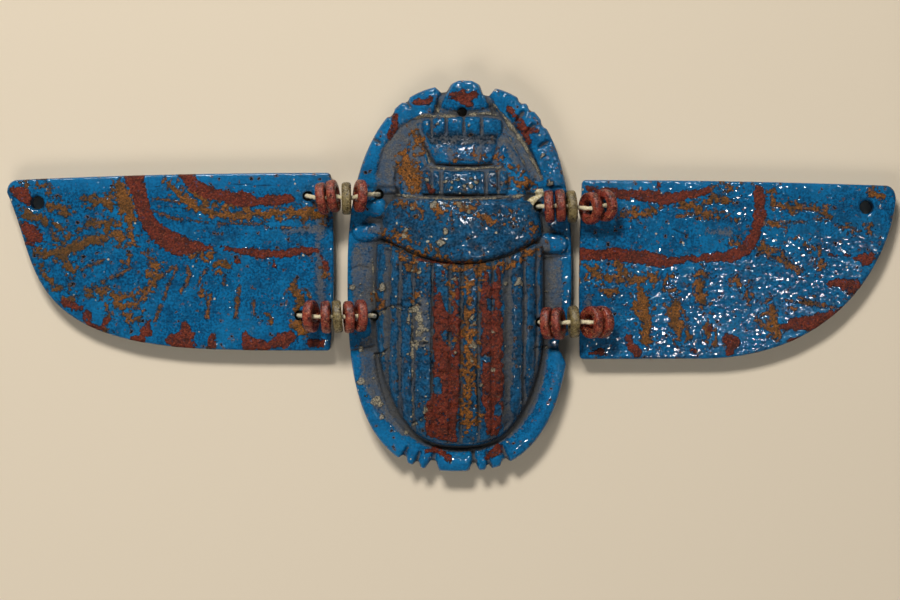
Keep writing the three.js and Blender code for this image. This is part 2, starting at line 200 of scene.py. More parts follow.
def raised(top, distance, ease=0.5, wall=3.5):
    """A raised form's height: its top inside, an eased edge, and a steep side outside."""
    inset = np.clip(-distance, 0, ease)
    drop = ease - np.sqrt(np.clip(ease**2 - (ease - inset) ** 2, 0, None))
    return top - drop - wall * np.clip(distance, 0, None)


def along_quadratic(start, bend, end, count):
    t = np.linspace(0, 1, count, endpoint=False)[:, None]
    a, b, c = (np.array(p, float) for p in (start, bend, end))
    return (1 - t) ** 2 * a + 2 * t * (1 - t) * b + t * t * c


def along_bezier(start, first, second, end, count):
    t = np.linspace(0, 1, count, endpoint=False)[:, None]
    a, b, c, d = (np.array(p, float) for p in (start, first, second, end))
    return (1 - t) ** 3 * a + 3 * t * (1 - t) ** 2 * b + 3 * t * t * (1 - t) * c + t**3 * d


def evenly_spaced(loop, step):
    """The same closed line with its points about step apart, and its direction counter-clockwise."""
    closed = np.vstack([loop, loop[:1]])
    run = np.concatenate([[0], np.cumsum(np.hypot(*np.diff(closed, axis=0).T))])
    at = np.linspace(0, run[-1], int(run[-1] / step), endpoint=False)
    even = np.stack([np.interp(at, run, closed[:, 0]), np.interp(at, run, closed[:, 1])], 1)
    x, y = even.T
    area = np.sum(x * np.roll(y, -1) - y * np.roll(x, -1))
    return even if area > 0 else even[::-1]


# ---------------------------------------------------------------- closed meshes
def make_piece(name, node, material, verts, faces, attributes=None):
    """A smooth-shaded piece from millimetre points, with one number a point for each attribute."""
    mesh = bpy.data.meshes.new(name)
    mesh.from_pydata((np.asarray(verts) * MM).tolist(), [], faces)
    mesh.polygons.foreach_set("use_smooth", np.ones(len(mesh.polygons), bool))
    mesh.set_sharp_from_angle(angle=math.radians(SHARP_ANGLE))
    for key, values in (attributes or {}).items():
        mesh.attributes.new(key, "FLOAT", "POINT").data.foreach_set("value", np.asarray(values, np.float32))
    mesh.update()
    mesh.materials.append(material)
    piece = bpy.data.objects.new(name, mesh)
    bpy.context.scene.collection.objects.link(piece)
    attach(piece, "root")
    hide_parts(node)


def grid_faces(rows, columns, closed):
    """Faces over rows of points that are rings; when closed, the last row is joined to the first."""
    i, j = np.meshgrid(np.arange(rows if closed else rows - 1), np.arange(columns), indexing="ij")
    i2, j2 = (i + 1) % rows, (j + 1) % columns
    corners = [i * columns + j, i * columns + j2, i2 * columns + j2, i2 * columns + j]
    return np.stack(corners, 2).reshape(-1, 4).tolist()


def circle(at, radius):
    a = np.linspace(0, 2 * math.pi, CIRCLE_POINTS, endpoint=False)
    return np.stack([at[0] + radius * np.cos(a), at[1] + radius * np.sin(a)], 1)


def triangulated(edge, circles, free):
    """Triangles inside a closed edge and outside the circles in it, which use the free points as well.

    Returns the points, the triangles, and the rows of the points of the edge and of each circle.
    """
    loops = [edge] + [circle(*ring) for ring in circles]
    starts = np.cumsum([0] + [len(loop) for loop in loops]).tolist()
    edges = []
    for start, loop in zip(starts, loops):
        edges += [(start + i, start + (i + 1) % len(loop)) for i in range(len(loop))]
    points = np.vstack(loops + [free])
    made = delaunay_2d_cdt([Vector(p) for p in points], edges, [], 1, 1e-7)
    place = np.array([v[:] for v in made[0]])
    tris = np.array(made[2])
    new_row = np.zeros(len(points), int)
    for row, olds in enumerate(made[3]):
        new_row[olds] = row
    a, b, c = (place[tris[:, k]] for k in range(3))
    turn = (b[:, 0] - a[:, 0]) * (c[:, 1] - a[:, 1]) - (b[:, 1] - a[:, 1]) * (c[:, 0] - a[:, 0])
    tris[turn < 0] = tris[turn < 0][:, ::-1]
    middle = (a + b + c) / 3
    in_circle = np.any([np.hypot(*(middle - at).T) < 0.98 * radius for at, radius in circles], axis=0)
    tris = tris[(np.abs(turn) > 1e-9) & ~in_circle]
    return place, tris, [new_row[start : start + len(loop)] for start, loop in zip(starts, loops)]


def lattice_inside(outline, step, inset):
    """Evenly spread points at least inset within an outline."""
    low, high = outline.min(0), outline.max(0)
    xs = np.arange(low[0], high[0], step)
    ys = np.arange(low[1], high[1], step * math.sqrt(3) / 2)
    x, y = np.meshgrid(xs, ys)
    x[1::2] += step / 2
    points = np.stack([x.ravel(), y.ravel()], 1)
    return points[polygon_distance(*points.T, outline) < -inset]


def clear_of(points, circles, gap):
    """The points more than gap outside every circle."""
    for at, radius in circles:
        points = points[np.hypot(*(points - at).T) > radius + gap]
    return points


def upper_points(rim, inward, bores):
    """The free points of an upper side: rows on its rounded rim, a lattice, and rings round each bore."""
    insets = [EDGE_ROUND * (1 - math.cos(math.radians(a))) for a in RIM_ANGLES]
    rings = np.vstack([rim + inward * inset for inset in insets])
    in_order = polygon_distance(*rings.T, rim) < -0.8 * np.repeat(insets, len(rim))
    rings = clear_of(rings[in_order], bores, 0.25)
    lattice = clear_of(lattice_inside(rim, SPACING, EDGE_ROUND + 0.12), bores, 0.32)
    collars = [circle(at, radius + away) for at, radius in bores for away in (0.09, 0.2)]
    return np.vstack([rings, lattice] + collars)


def carved_slab(outline, holes, height, seed):
    """Points and faces of a closed slab on z = 0 whose upper side is the height function.

    The rim is rounded over, and each hole goes right through, wider behind where it has a seat. The points
    of the upper side come first, and the last value is how many they are.
    """
    rim = evenly_spaced(outline, RIM_SPACING)
    ahead = np.roll(rim, -1, axis=0) - np.roll(rim, 1, axis=0)
    inward = np.stack([-ahead[:, 1], ahead[:, 0]], 1) / np.hypot(*ahead.T)[:, None]
    bores = [(hole["at"], hole["radius"]) for hole in holes]
    seats = [(hole["at"], hole.get("seat", hole["radius"])) for hole in holes]

    top, top_tris, top_rows = triangulated(rim, bores, upper_points(rim, inward, bores))
    inset = np.clip(-polygon_distance(*top.T, rim), 0, EDGE_ROUND)
    z = height(*top.T) - EDGE_ROUND + np.sqrt(np.clip(EDGE_ROUND**2 - (EDGE_ROUND - inset) ** 2, 0, None))
    for at, radius in bores:
        away = np.hypot(*(top - at).T) - radius
        z -= HOLE_LIP["depth"] * np.exp(-np.clip(away, 0, None) / HOLE_LIP["reach"])

    middle = rim.mean(0)
    foot = rim + (middle - rim) * (FOOT["bevel"] / np.hypot(*(rim - middle).T))[:, None]
    spread = clear_of(lattice_inside(rim, UNDER_SPACING, 1.2), seats, 0.5)
    under, under_tris, under_rows = triangulated(foot, seats, spread)
    under_rows = [row + len(top) for row in under_rows]

    verts = [np.column_stack([top, z]), np.column_stack([under, np.zeros(len(under))])]
    faces = [top_tris, under_tris[:, ::-1] + len(top)]

    def add_row(points, level):
        """The numbers of a new row of points, at one level or a level each."""
        start = sum(len(part) for part in verts)
        verts.append(np.column_stack([points, np.broadcast_to(level, len(points))]))
        return np.arange(start, start + len(points))

    def join(rows):
        """Walls from each row of points up to the next, facing away from the rows' left side."""
        for lower, upper in zip(rows, rows[1:]):
            lower_next, upper_next = np.roll(lower, -1), np.roll(upper, -1)
            faces.append(np.stack([lower, lower_next, upper_next], 1))
            faces.append(np.stack([lower, upper_next, upper], 1))

    along = np.arange(len(rim)) * RIM_SPACING
    rows = [under_rows[0]]
    for step in np.linspace(0, 1, WALL_ROWS + 1)[:-1]:
        level = FOOT["level"] + (z[top_rows[0]] - FOOT["level"]) * step
        dent = 0.05 * rough_noise(along, level, 1.1, seed + 40) * math.sin(math.pi * min(1, step + 0.15))
        rows.append(add_row(rim + inward * (0.04 + dent)[:, None], level))
    join(rows + [top_rows[0]])

    for hole, bore, seat, under_row, top_row in zip(holes, bores, seats, under_rows[1:], top_rows[1:]):
        rows = [under_row]
        if "seat" in hole:
            rows += [add_row(circle(*ring), hole["seat_depth"]) for ring in (seat, bore)]
        rows += [add_row(circle(*bore), BORE_LEVEL), top_row]
        join([row[::-1] for row in rows])
    return np.vstack(verts), np.vstack(faces).tolist(), len(top)


def cavity_field(height, box, step=0.2, reach=7):
    """How far the surface lies below its surroundings, as a function of x and y."""
    xs = np.arange(box[0], box[2], step)
    ys = np.arange(box[1], box[3], step)
    z = height(*np.meshgrid(xs, ys))
    kernel = np.exp(-0.5 * (np.arange(-3 * reach, 3 * reach + 1) / reach) ** 2)
    kernel /= kernel.sum()
    soft = np.pad(z, 3 * reach, mode="edge")
    for axis in (0, 1):
        soft = np.apply_along_axis(np.convolve, axis, soft, kernel, "valid")
    hollow = (soft - z).T

    def sample(x, y):
        u = np.clip((x - box[0]) / step, 0, len(xs) - 1.001)
        v = np.clip((y - box[1]) / step, 0, len(ys) - 1.001)
        i, j = u.astype(int), v.astype(int)
        return blended(hollow, i, j, u - i, v - j)

    return sample


# ---------------------------------------------------------------- the scarab
def notch_share(away, half):
    """How much of a notch's depth is reached this far from its middle; its sides slope."""
    return min(1, max(0, 1.6 * (1 - abs(away) / half)))


def plate_outline():
    """A fuller oval than an ellipse, with teeth and notches at both ends and a notch on the right."""
    points = []
    for a in np.linspace(0, 2 * math.pi, PLATE_POINTS, endpoint=False):
        c, s = math.cos(a), math.sin(a)
        end = "tail" if s < 0 else "head"
        power = 2 / FULLNESS[end + ("_left" if c < 0 else "_right")]
        x = PLATE_HALF["width"] * math.copysign(abs(c) ** power, c)
        y = PLATE_HALF[end] * math.copysign(abs(s) ** power, s)
        teeth = TAIL_TEETH if s < 0 else HEAD_TEETH
        cut = sum(depth * notch_share(x + PLATE_X - at, half) for at, half, depth in teeth)
        if c > 0:
            cut += SIDE_NOTCH["cut"] * notch_share(y - SIDE_NOTCH["y"], SIDE_NOTCH["half"])
        keep = 1 - cut / math.hypot(x, y)
        points.append((PLATE_X + x * keep, y * keep))
    return np.array(points)


def cases_outline():
    angle = np.linspace(math.pi, 2 * math.pi, 61)
    power = 2 / CASES["fullness"]
    c, s = np.cos(angle), np.abs(np.sin(angle))
    x = CASES["x"] + CASES["half"] * np.sign(c) * np.abs(c) ** power
    y = CASES["round_y"] - CASES["tail"] * s**power
    top = CASES["shoulder_y"]
    ends = [(CASES["x"] + CASES["half"], top), (CASES["x"] - CASES["half"], top)]
    return np.vstack([np.stack([x, y], 1), ends])


def thorax_outline():
    left, right, shoulder = THORAX["left"], THORAX["right"], THORAX["shoulder_y"]
    front = THORAX["front_y"]
    rear = (((left + right) / 2), 2 * THORAX["rear_y"] - shoulder)
    return np.vstack(
        [
            along_quadratic((left, shoulder), rear, (right, shoulder), 24),
            along_quadratic((right, shoulder), (right + 0.2, front - 0.8), (right - 2.6, front - 0.3), 10),
            along_quadratic((right - 2.6, front - 0.3), (2, front + 0.3), (left + 3, front + 0.2), 10),
            along_quadratic((left + 3, front + 0.2), (left - 0.3, front - 0.9), (left, shoulder), 10),
        ]
    )


OUTLINE = plate_outline()
CASES_OUTLINE = cases_outline()
THORAX_OUTLINE = thorax_outline()

HEAD_FIELD = [
    (-13.6, 16.2), (-12.6, 22), (-9.8, 26.4), (-6.4, 28.4), (-2.3, 29), (-2.6, 31), (-1.3, 34),
    (6.3, 34), (7.2, 30.6), (10.2, 27), (13.6, 22.4), (17, 15.4),
]
FACE_FIELD = [
    (-10, 14.6), (-10.4, 19), (-8.6, 24), (-5.6, 28.7), (9.3, 28.9), (12, 24.6), (15.4, 18), (14.6, 14.6),
]
FACE_PLATE = [
    (-2.6, 20), (7, 20), (7.6, 21.6), (8.6, 24.6), (9.3, 26.4), (8.8, 28.5), (-5, 28.4), (-5.4, 26.4),
    (-4.6, 24.4),
    (-3.4, 21.6),
]
LOBES = [(-4.6, 0.9), (-2.25, 1.2), (0.65, 1.5), (3.8, 1.5), (7.4, 1.95)]  # middle and half width
LOBE_GROOVES = [-3.55, -0.95, 2.2, 5.4]
SEGMENT_ROW = [(-5.4, 14.5), (10.2, 14.5), (10, 18.9), (-5.2, 18.9)]
SEGMENT_GROOVES = [(-3.55, 0.22), (-1.8, 0.36), (6.2, 0.3), (8.4, 0.24)]  # place and half width
LEFT_CHEEK = [
    (-9.6, 16), (-8.2, 14.9), (-5.7, 15), (-5.5, 19), (-3.7, 19.9), (-5, 23.8), (-5.9, 25.4), (-7.4, 25.2),
    (-9.3, 21.4),
]
RIGHT_CHEEK = [
    (10.3, 15), (13.3, 15.1), (14.6, 17), (12.6, 21.4), (9.6, 25), (8.6, 23), (7.9, 20.2), (10.1, 18.8),
]
CLYPEUS = [(-2.3, 29.5), (-2.5, 32.6), (-0.4, 33), (0.4, 36), (4.6, 36), (5.4, 33), (7.5, 32.4), (7.2, 29.7)]
HIND_FIELD = [(-25, -14.6), (-13, -13.6), (16.2, -12.8), (25, -14.2), (25, -40), (-25, -40)]
SMALL_LEGS = [
    [(-18.2, 7.9), (-16.9, 5.9), (-11.5, 6.6), (-11.5, 9.8), (-17, 9.4)],
    [(14, 4.3), (20.6, 3.9), (21.2, 6.2), (19.4, 7.8), (14, 7.9)],
    [(-16.2, 10.9), (-11.5, 10.2), (-11.5, 14.3), (-15.4, 13.8)],
]
FOOT_CUTS = [
    [(-8.9, -33, 0.3), (-7.9, -30.9, 0.15)], [(-6.5, -34, 0.3), (-5.7, -31.8, 0.15)],
    [(-3.4, -34.5, 0.7), (-3.1, -32, 0.2)], [(4.2, -34.5, 0.5), (3.9, -31.6, 0.15)],
    [(6.9, -34.3, 0.3), (6.3, -31.8, 0.15)], [(10, -33, 0.35), (9.1, -30.6, 0.15)],
    [(-1.2, 33.4, 0.5), (-2.9, 29.4, 0.25)], [(6.2, 33.2, 0.5), (7.6, 29.6, 0.3)],
    [(-8.6, 32.4, 0.3), (-7.4, 30.4, 0.1)], [(-11.4, 29.6, 0.3), (-10, 28.2, 0.1)],
    [(12.9, 29.3, 0.35), (11.6, 27.8, 0.1)], [(14.7, 27, 0.3), (13.4, 25.8, 0.1)],
    [(17.2, 24, 0.3), (15.8, 23.2, 0.1)], [(-14.2, 24.8, 0.2), (-12.9, 24, 0.1)],
]
SCORED_LINES = [
    [(-18.4, 1, 0.12), (-16.6, 1.8, 0.12), (-15, 1.5, 0.1)],
    [(16.4, 3, 0.12), (18.6, 3.3, 0.12), (21.2, 3.9, 0.1)],
    [(-18.6, -13.4, 0.1), (-16, -13, 0.1), (-14, -12.6, 0.1)],
]
CRACKS = [
    [(-13.4, -6.6, 0.2), (-12, -6.1, 0.16), (-10.8, -5.3, 0.14), (-9.4, -5.2, 0.14), (-8, -5.8, 0.14),
     (-6.8, -5.6, 0.16)],
    [(-13.8, -14.1, 0.2), (-12.4, -13.8, 0.16), (-11, -12.8, 0.12)],
    [(-7.1, -26.4, 0.14), (-5.9, -25.9, 0.12), (-4.6, -24.9, 0.1)],
    [(14.8, -12.9, 0.16), (17.2, -12.6, 0.14)], [(-7, -8.6, 0.1), (-6.9, -11.4, 0.2), (-6.2, -12.6, 0.14)],
    [(-5.8, -12.2, 0.1), (-4.2, -12, 0.14)], [(-6.7, -4.6, 0.12), (-5.6, -5.2, 0.18)],
]
# (x, y, radius) of crusted blisters that stand up, and of pits with tan earth in them.
BLISTERS = [
    (-3.3, 12.5, 0.4), (-3, 13.1, 0.3), (1.2, 12.9, 0.35), (1.2, 12.1, 0.3), (3.2, 11.4, 0.45),
    (-1, 7.8, 0.45),
    (3.4, 7.1, 0.3), (-2, 5.7, 0.75), (-8.1, 8.1, 0.45), (-8.3, 7.1, 0.35), (-7, 12, 0.35), (8.6, 10.6, 0.3),
    (-1, 16.9, 0.32), (1.1, 17.2, 0.28), (0.1, 15.8, 0.3), (3.5, 17.4, 0.3), (3.4, 16, 0.35),
    (4.5, 16.7, 0.25),
    (-4.4, 17.1, 0.3), (-2.5, 27.2, 0.3), (3.1, 27, 0.25), (11.9, -1.2, 0.6), (9.7, -1.5, 0.35),
    (-4.6, -23.6, 0.3),
    (17.7, 16.7, 0.6), (-12.5, -2, 0.75), (16.5, 21.8, 0.4), (-16.4, -13.2, 0.5),
]
EARTH_PITS = [
    (-16.2, -19, 0.8), (-13.7, -22.5, 0.75), (-12.8, -23, 0.5), (-17.9, -2.1, 0.45), (-12.5, -25.4, 0.4),
    (-8.2, -28.2, 0.4), (-6.8, -12.3, 0.4), (10.8, -28.4, 0.25), (12.6, 24.6, 0.3), (-1.2, -20, 0.25),
    (7.4, -10, 0.3), (8.3, -21.6, 0.35), (0.8, -13.6, 0.25), (7.4, -16.8, 0.3), (5.2, -19.5, 0.25),
]


def body_height(x, y):
    across = (x - BODY["x"]) / BODY["half"]
    reach = np.where(y > BODY["crown_y"], BODY["front"], BODY["rear"])
    along = (y - BODY["crown_y"]) / reach
    rise = np.sqrt(np.clip(1 - across**2 - along**2, 0, None))
    return BODY["edge_z"] + (BODY["crown_z"] - BODY["edge_z"]) * rise


def groove_wander(x, y):
    """How far the grooves of the wing cases stray sideways."""
    return 0.22 * lattice_noise(0.2 * x, y, 5, 7) + 0.15 * rough_noise(x, y, 0.9, 9, 2)


def groove_distance(x, y):
    """Distance to the middle of the nearest groove, in its half widths."""
    away = [np.abs(x - line - groove_wander(x, y)) / half for line, half in FLUTES]
    return np.min(away, axis=0)


def head_height(x, y):
    forward = (y - HEAD["rear_y"]) / (HEAD["front_y"] - HEAD["rear_y"])
    rise = (HEAD["front_z"] - HEAD["rear_z"]) * forward
    return HEAD["rear_z"] + rise - HEAD["camber"] * (x - HEAD["x"]) ** 2


def head_relief(x, y):
    """The face: a field with a cheek each side, the scalloped plate, and the row of segments behind it."""
    head = head_height(x, y)
    relief = raised(head - 0.85, polygon_distance(x, y, softened(FACE_FIELD)), 1.2, 0.9)
    for cheek in (LEFT_CHEEK, RIGHT_CHEEK):
        away = polygon_distance(x, y, softened(cheek))
        relief = smooth_max(relief, raised(head - 0.3, away, 0.9, 1.6), 0.25)

    lobes = np.zeros(np.shape(x))
    for middle, half in LOBES:
        lobes += 0.65 * np.sqrt(np.clip(1 - ((x - middle) / half) ** 2, 0, None)) * smoothstep(24.6, 27.2, y)
    for groove in LOBE_GROOVES:
        lobes -= 0.35 * np.exp(-(((x - groove) / 0.3) ** 2)) * smoothstep(24.8, 26, y)
    plate = head + 0.15 - 0.12 * np.clip(y - 20, 0, 3.5) + lobes - 0.3 * np.exp(-(((y - 24.4) / 1.1) ** 2))
    outline = polygon_distance(x, y, softened(FACE_PLATE, 1))
    relief = smooth_max(relief, raised(plate, outline, 0.7, 2.5), 0.2)

    row = head + 0.25 + 0.16 * lattice_noise(x, y, 1.1, 55) + 0.1 * lattice_noise(x, y, 0.55, 56)
    row -= 0.13 * np.clip(y - 17.2, 0, None)
    for groove, half in SEGMENT_GROOVES:
        row -= 0.75 * np.exp(-np.abs((x - groove) / half) ** 2.5)
    return smooth_max(relief, raised(row, polygon_distance(x, y, SEGMENT_ROW), 0.9, 2.5), 0.15)


def bumps(x, y, spots, height):
    total = np.zeros(np.shape(x))
    for at_x, at_y, radius in spots:
        total += height * radius * np.exp(-(((x - at_x) ** 2 + (y - at_y) ** 2) / radius**2) ** 1.6)
    return total


def scattered(seed, count, box, sizes):
    """Seeded random spots (x, y, radius) within a box."""
    rng = np.random.default_rng(seed)
    return [
        (rng.uniform(box[0], box[2]), rng.uniform(box[1], box[3]), rng.uniform(*sizes)) for _ in range(count)
    ]


SCARAB_PINHOLES = scattered(11, 420, (-18, -34, 21, 34), (0.12, 0.26))
SMALL_BLISTERS = [
    *scattered(12, 90, (-12, 3, 15, 19), (0.2, 0.4)),
    *scattered(13, 60, (-12, -30, 15, 2), (0.2, 0.35)),
    *scattered(14, 16, (-2, 20.4, 7.6, 23.2), (0.25, 0.4)),
]


WORN_PATCH = [(-5.6, -5.4, 1.4), (-5.4, -9, 1.5), (-5.4, -12, 1.2)]


def plate_relief(x, y, cases):
    """The plate, the head's lower ground, the legs folded round the rim, and the front of the head."""
    edge = -polygon_distance(x, y, OUTLINE[::3])
    past_rim = -0.2 - edge  # raised forms run on a little past the rim
    surface = PLATE_TOP + 0.12 * lattice_noise(x, y, 6, 3) + 0.05 * lattice_noise(x, y, 1.6, 4)

    ground_top = HEAD_GROUND + 0.1 * lattice_noise(x, y, 2.4, 8)
    surface = smooth_max(surface, raised(ground_top, np.maximum(14.9 - y, past_rim), 0.6, 1.5), 0.3)

    leg_top = LEG_TOP - 0.35 * smoothstep(1.6, 0, edge) + 0.1 * lattice_noise(x, y, 3, 5)
    field = polygon_distance(x, y, softened(HEAD_FIELD))
    front = np.maximum(np.maximum(-field, 15.8 - y), past_rim)
    surface = smooth_max(surface, raised(leg_top, front, 0.9, 1.1), 0.3)

    gutter = RIM_GAP - cases
    hind = np.maximum(np.maximum(gutter, polygon_distance(x, y, HIND_FIELD)), past_rim)
    inner_slope = 0.9 * smoothstep(2.6, 0, -gutter)
    surface = smooth_max(surface, raised(leg_top - inner_slope, hind, 0.7, 1.8), 0.25)

    clypeus = polygon_distance(x, y, softened(CLYPEUS))
    surface = smooth_max(surface, raised(LEG_TOP + 0.1, clypeus, 0.9, 2.5))
    for leg in SMALL_LEGS:
        pad = polygon_distance(x, y, softened(leg))
        surface = smooth_max(surface, raised(LEG_TOP - 0.2, pad, 1.3, 2))
    return surface


def flute_depth(x, y, cases):
    """Depth of the grooves of the wing cases, which run out at the tail and at the sides."""
    depth = FLUTE_DEPTH * (0.85 + 0.3 * lattice_noise(x, y, 2.6, 6)) * np.exp(-groove_distance(x, y) ** 2.2)
    return depth * (smoothstep(-30.2, -27.5, y) * smoothstep(-0.3, -1.1, cases))


def with_body(surface, x, y, cases, thorax, flutes):
    """The surface with the beetle's body on it: the seam, the fluted wing cases, the thorax and the neck."""
    body = body_height(x, y)
    forward = np.clip((y - THORAX["rear_y"]) / (THORAX["front_y"] - THORAX["rear_y"]), 0, None)
    neck = np.maximum(np.abs(x - 2) - 11, np.abs(y - 10.5) - 5)
    neck_top = HEAD["rear_z"] - 0.5 - 0.01 * (x - 2) ** 2
    for form in (
        raised(body - SEAM_DEPTH, cases + 0.4, 0.3),
        raised(body - flutes, np.maximum(cases, 0.55 - thorax), 0.75, 4),
        raised(body + 0.3 - forward**2, thorax, 1.1, 4),
        raised(neck_top, neck, 0.6, 1.5),
    ):
        surface = smooth_max(surface, form)
    return surface


def scarab_height(x, y):
    """The carved upper side of the scarab, without the rounding of its rim."""
    cases = polygon_distance(x, y, CASES_OUTLINE)
    thorax = polygon_distance(x, y, THORAX_OUTLINE)
    flutes = flute_depth(x, y, cases)
    surface = with_body(plate_relief(x, y, cases), x, y, cases, thorax, flutes)
    surface = smooth_max(surface, head_relief(x, y), 0.2)

    # What is cut into the surface: the strokes, the depth, and where the side of the cut starts and ends.
    for strokes, depth, start, end in (
        (DARK_LINES, 0.45, 0.25, -0.15),
        (FOOT_CUTS, 0.9, 0.45, -0.25),
        (SCORED_LINES, 0.3, 0.18, -0.05),
        (CRACKS, 0.35, 0.12, -0.12),
    ):
        surface -= depth * smoothstep(start, end, stroke_distance(x, y, strokes))
    worn = smoothstep(0.6, -0.6, stroke_distance(x, y, [WORN_PATCH]))
    surface -= worn * (0.14 + 0.3 * rough_noise(x, y, 0.8, 21))
    surface += bumps(x, y, BLISTERS, 0.5) + bumps(x, y, SMALL_BLISTERS, 0.35)
    surface -= bumps(x, y, EARTH_PITS, 0.25) + bumps(x, y, SCARAB_PINHOLES, 0.7)

    # Paint lies a little higher and rougher than the glaze, and half fills the grooves.
    stripe = smoothstep(0.15, -0.15, scarab_red(x, y))
    filling = 0.4 * flutes * smoothstep(0, -0.5, np.maximum(cases, 0.55 - thorax))
    surface += stripe * (filling + 0.3 * rough_noise(x, y, 0.75, 82, 2))
    paint = np.maximum(smoothstep(0.15, -0.15, scarab_ochre(x, y)), smoothstep(0.1, -0.1, scarab_crust(x, y)))
    surface += np.maximum(paint, 0.7 * stripe) * (0.1 + 0.13 * rough_noise(x, y, 0.6, 80, 2))
    surface += 0.28 * smoothstep(0.05, -0.12, polygon_distance(x, y, FLAKE))

    worn_body = smoothstep(0.5, -1.5, np.minimum(cases, thorax))
    grain = 0.05 * rough_noise(x, y, 1.5, 31) + 0.02 * rough_noise(x, y, 0.5, 35, 2)
    return surface + grain + worn_body * 0.07 * rough_noise(x, y, 0.8, 38, 2)


FLAKE = [(13.5, 13.5), (14.2, 13.2), (14.8, 12.5), (15.3, 13.1), (15.5, 13.7), (16.8, 14.7), (16.3, 15.7),
         (15.3, 15.6), (14.9, 15.1), (15.3, 14.4), (14.3, 14.1)]

RED_STRIPES = [
    [(-3.3, -3.4), (-2.3, -2.6), (-1.2, -4.2), (0.6, -4), (1.6, -6), (1.7, -12), (1.5, -22), (0.8, -29.7),
     (-4.3, -29.2),
     (-5, -26.4), (-4.7, -22.8), (-3.4, -21), (-3.3, -10)],
    [(5, -2.4), (6.2, -1), (6.8, -2), (7.4, -0.6), (8.5, -1.6), (9.1, -6), (9.4, -20), (9.1, -26),
     (8.2, -28.8),
     (6.2, -28.2), (5.9, -24.4), (5.2, -22), (5.3, -12), (5.1, -6)],
]
# Places inside the stripes where the red has gone.
RED_GAPS = [
    [(-1, -10.6, 0.5), (0, -11.8, 0.5)], [(-0.6, -4.6, 0.3), (-0.2, -6, 0.1)],
    [(-2.6, -19, 0.3), (-2.4, -20.6, 0.2)],
    [(6.9, -4.4, 0.2), (7, -5.6, 0.2)], [(6.2, -14.6, 0.2), (6.6, -15, 0.2)],
    [(8.6, -23.6, 0.3), (8.2, -24.6, 0.2)],
]
SCARAB_RED = [
    [(-3, 0.2, 0.15), (-2.9, -2.6, 0.3)], [(0.5, -0.2, 0.3), (1, -1.6, 0.4), (1, -4, 0.3)],
    [(-1.5, 0.7, 0.2), (-1.1, 0.3, 0.2)],
    [(6.2, 0.4, 0.2), (6.1, -1.6, 0.4)], [(8.3, 1.2, 0.25), (8.5, -1.6, 0.45)],
    [(0.3, 32.4, 0.7), (2.2, 32, 1.1), (4.3, 32.6, 0.6)],
    [(2, 33.2, 0.4), (3.2, 30.8, 0.5)],
    [(-6.2, 31.2, 0.5), (-4.6, 31.3, 0.6), (-3.6, 32, 0.4)],
    [(-10.2, 28.6, 0.6), (-10.2, 26.6, 0.5), (-11.2, 25.2, 0.6)],
    [(10.3, 30.2, 0.3), (11.8, 28.4, 0.5), (13, 26.3, 0.7), (13.8, 24.2, 0.5)],
    [(13, 26.4, 0.5), (15.2, 26.1, 0.4)],
    [(-4.4, -31.3, 0.4), (-2.4, -31.3, 0.6), (-0.6, -32.6, 0.6)],
    [(6.6, -32.4, 0.6), (8.6, -31, 0.8)],
    [(-4.3, 16.2, 0.4), (-3.7, 15.4, 0.5)], [(-6, 2.8, 0.1), (-2, 2.3, 0.15), (2.4, 2.25, 0.15)],
    [(7.4, 16.4, 0.2), (7.8, 16, 0.2)],
]
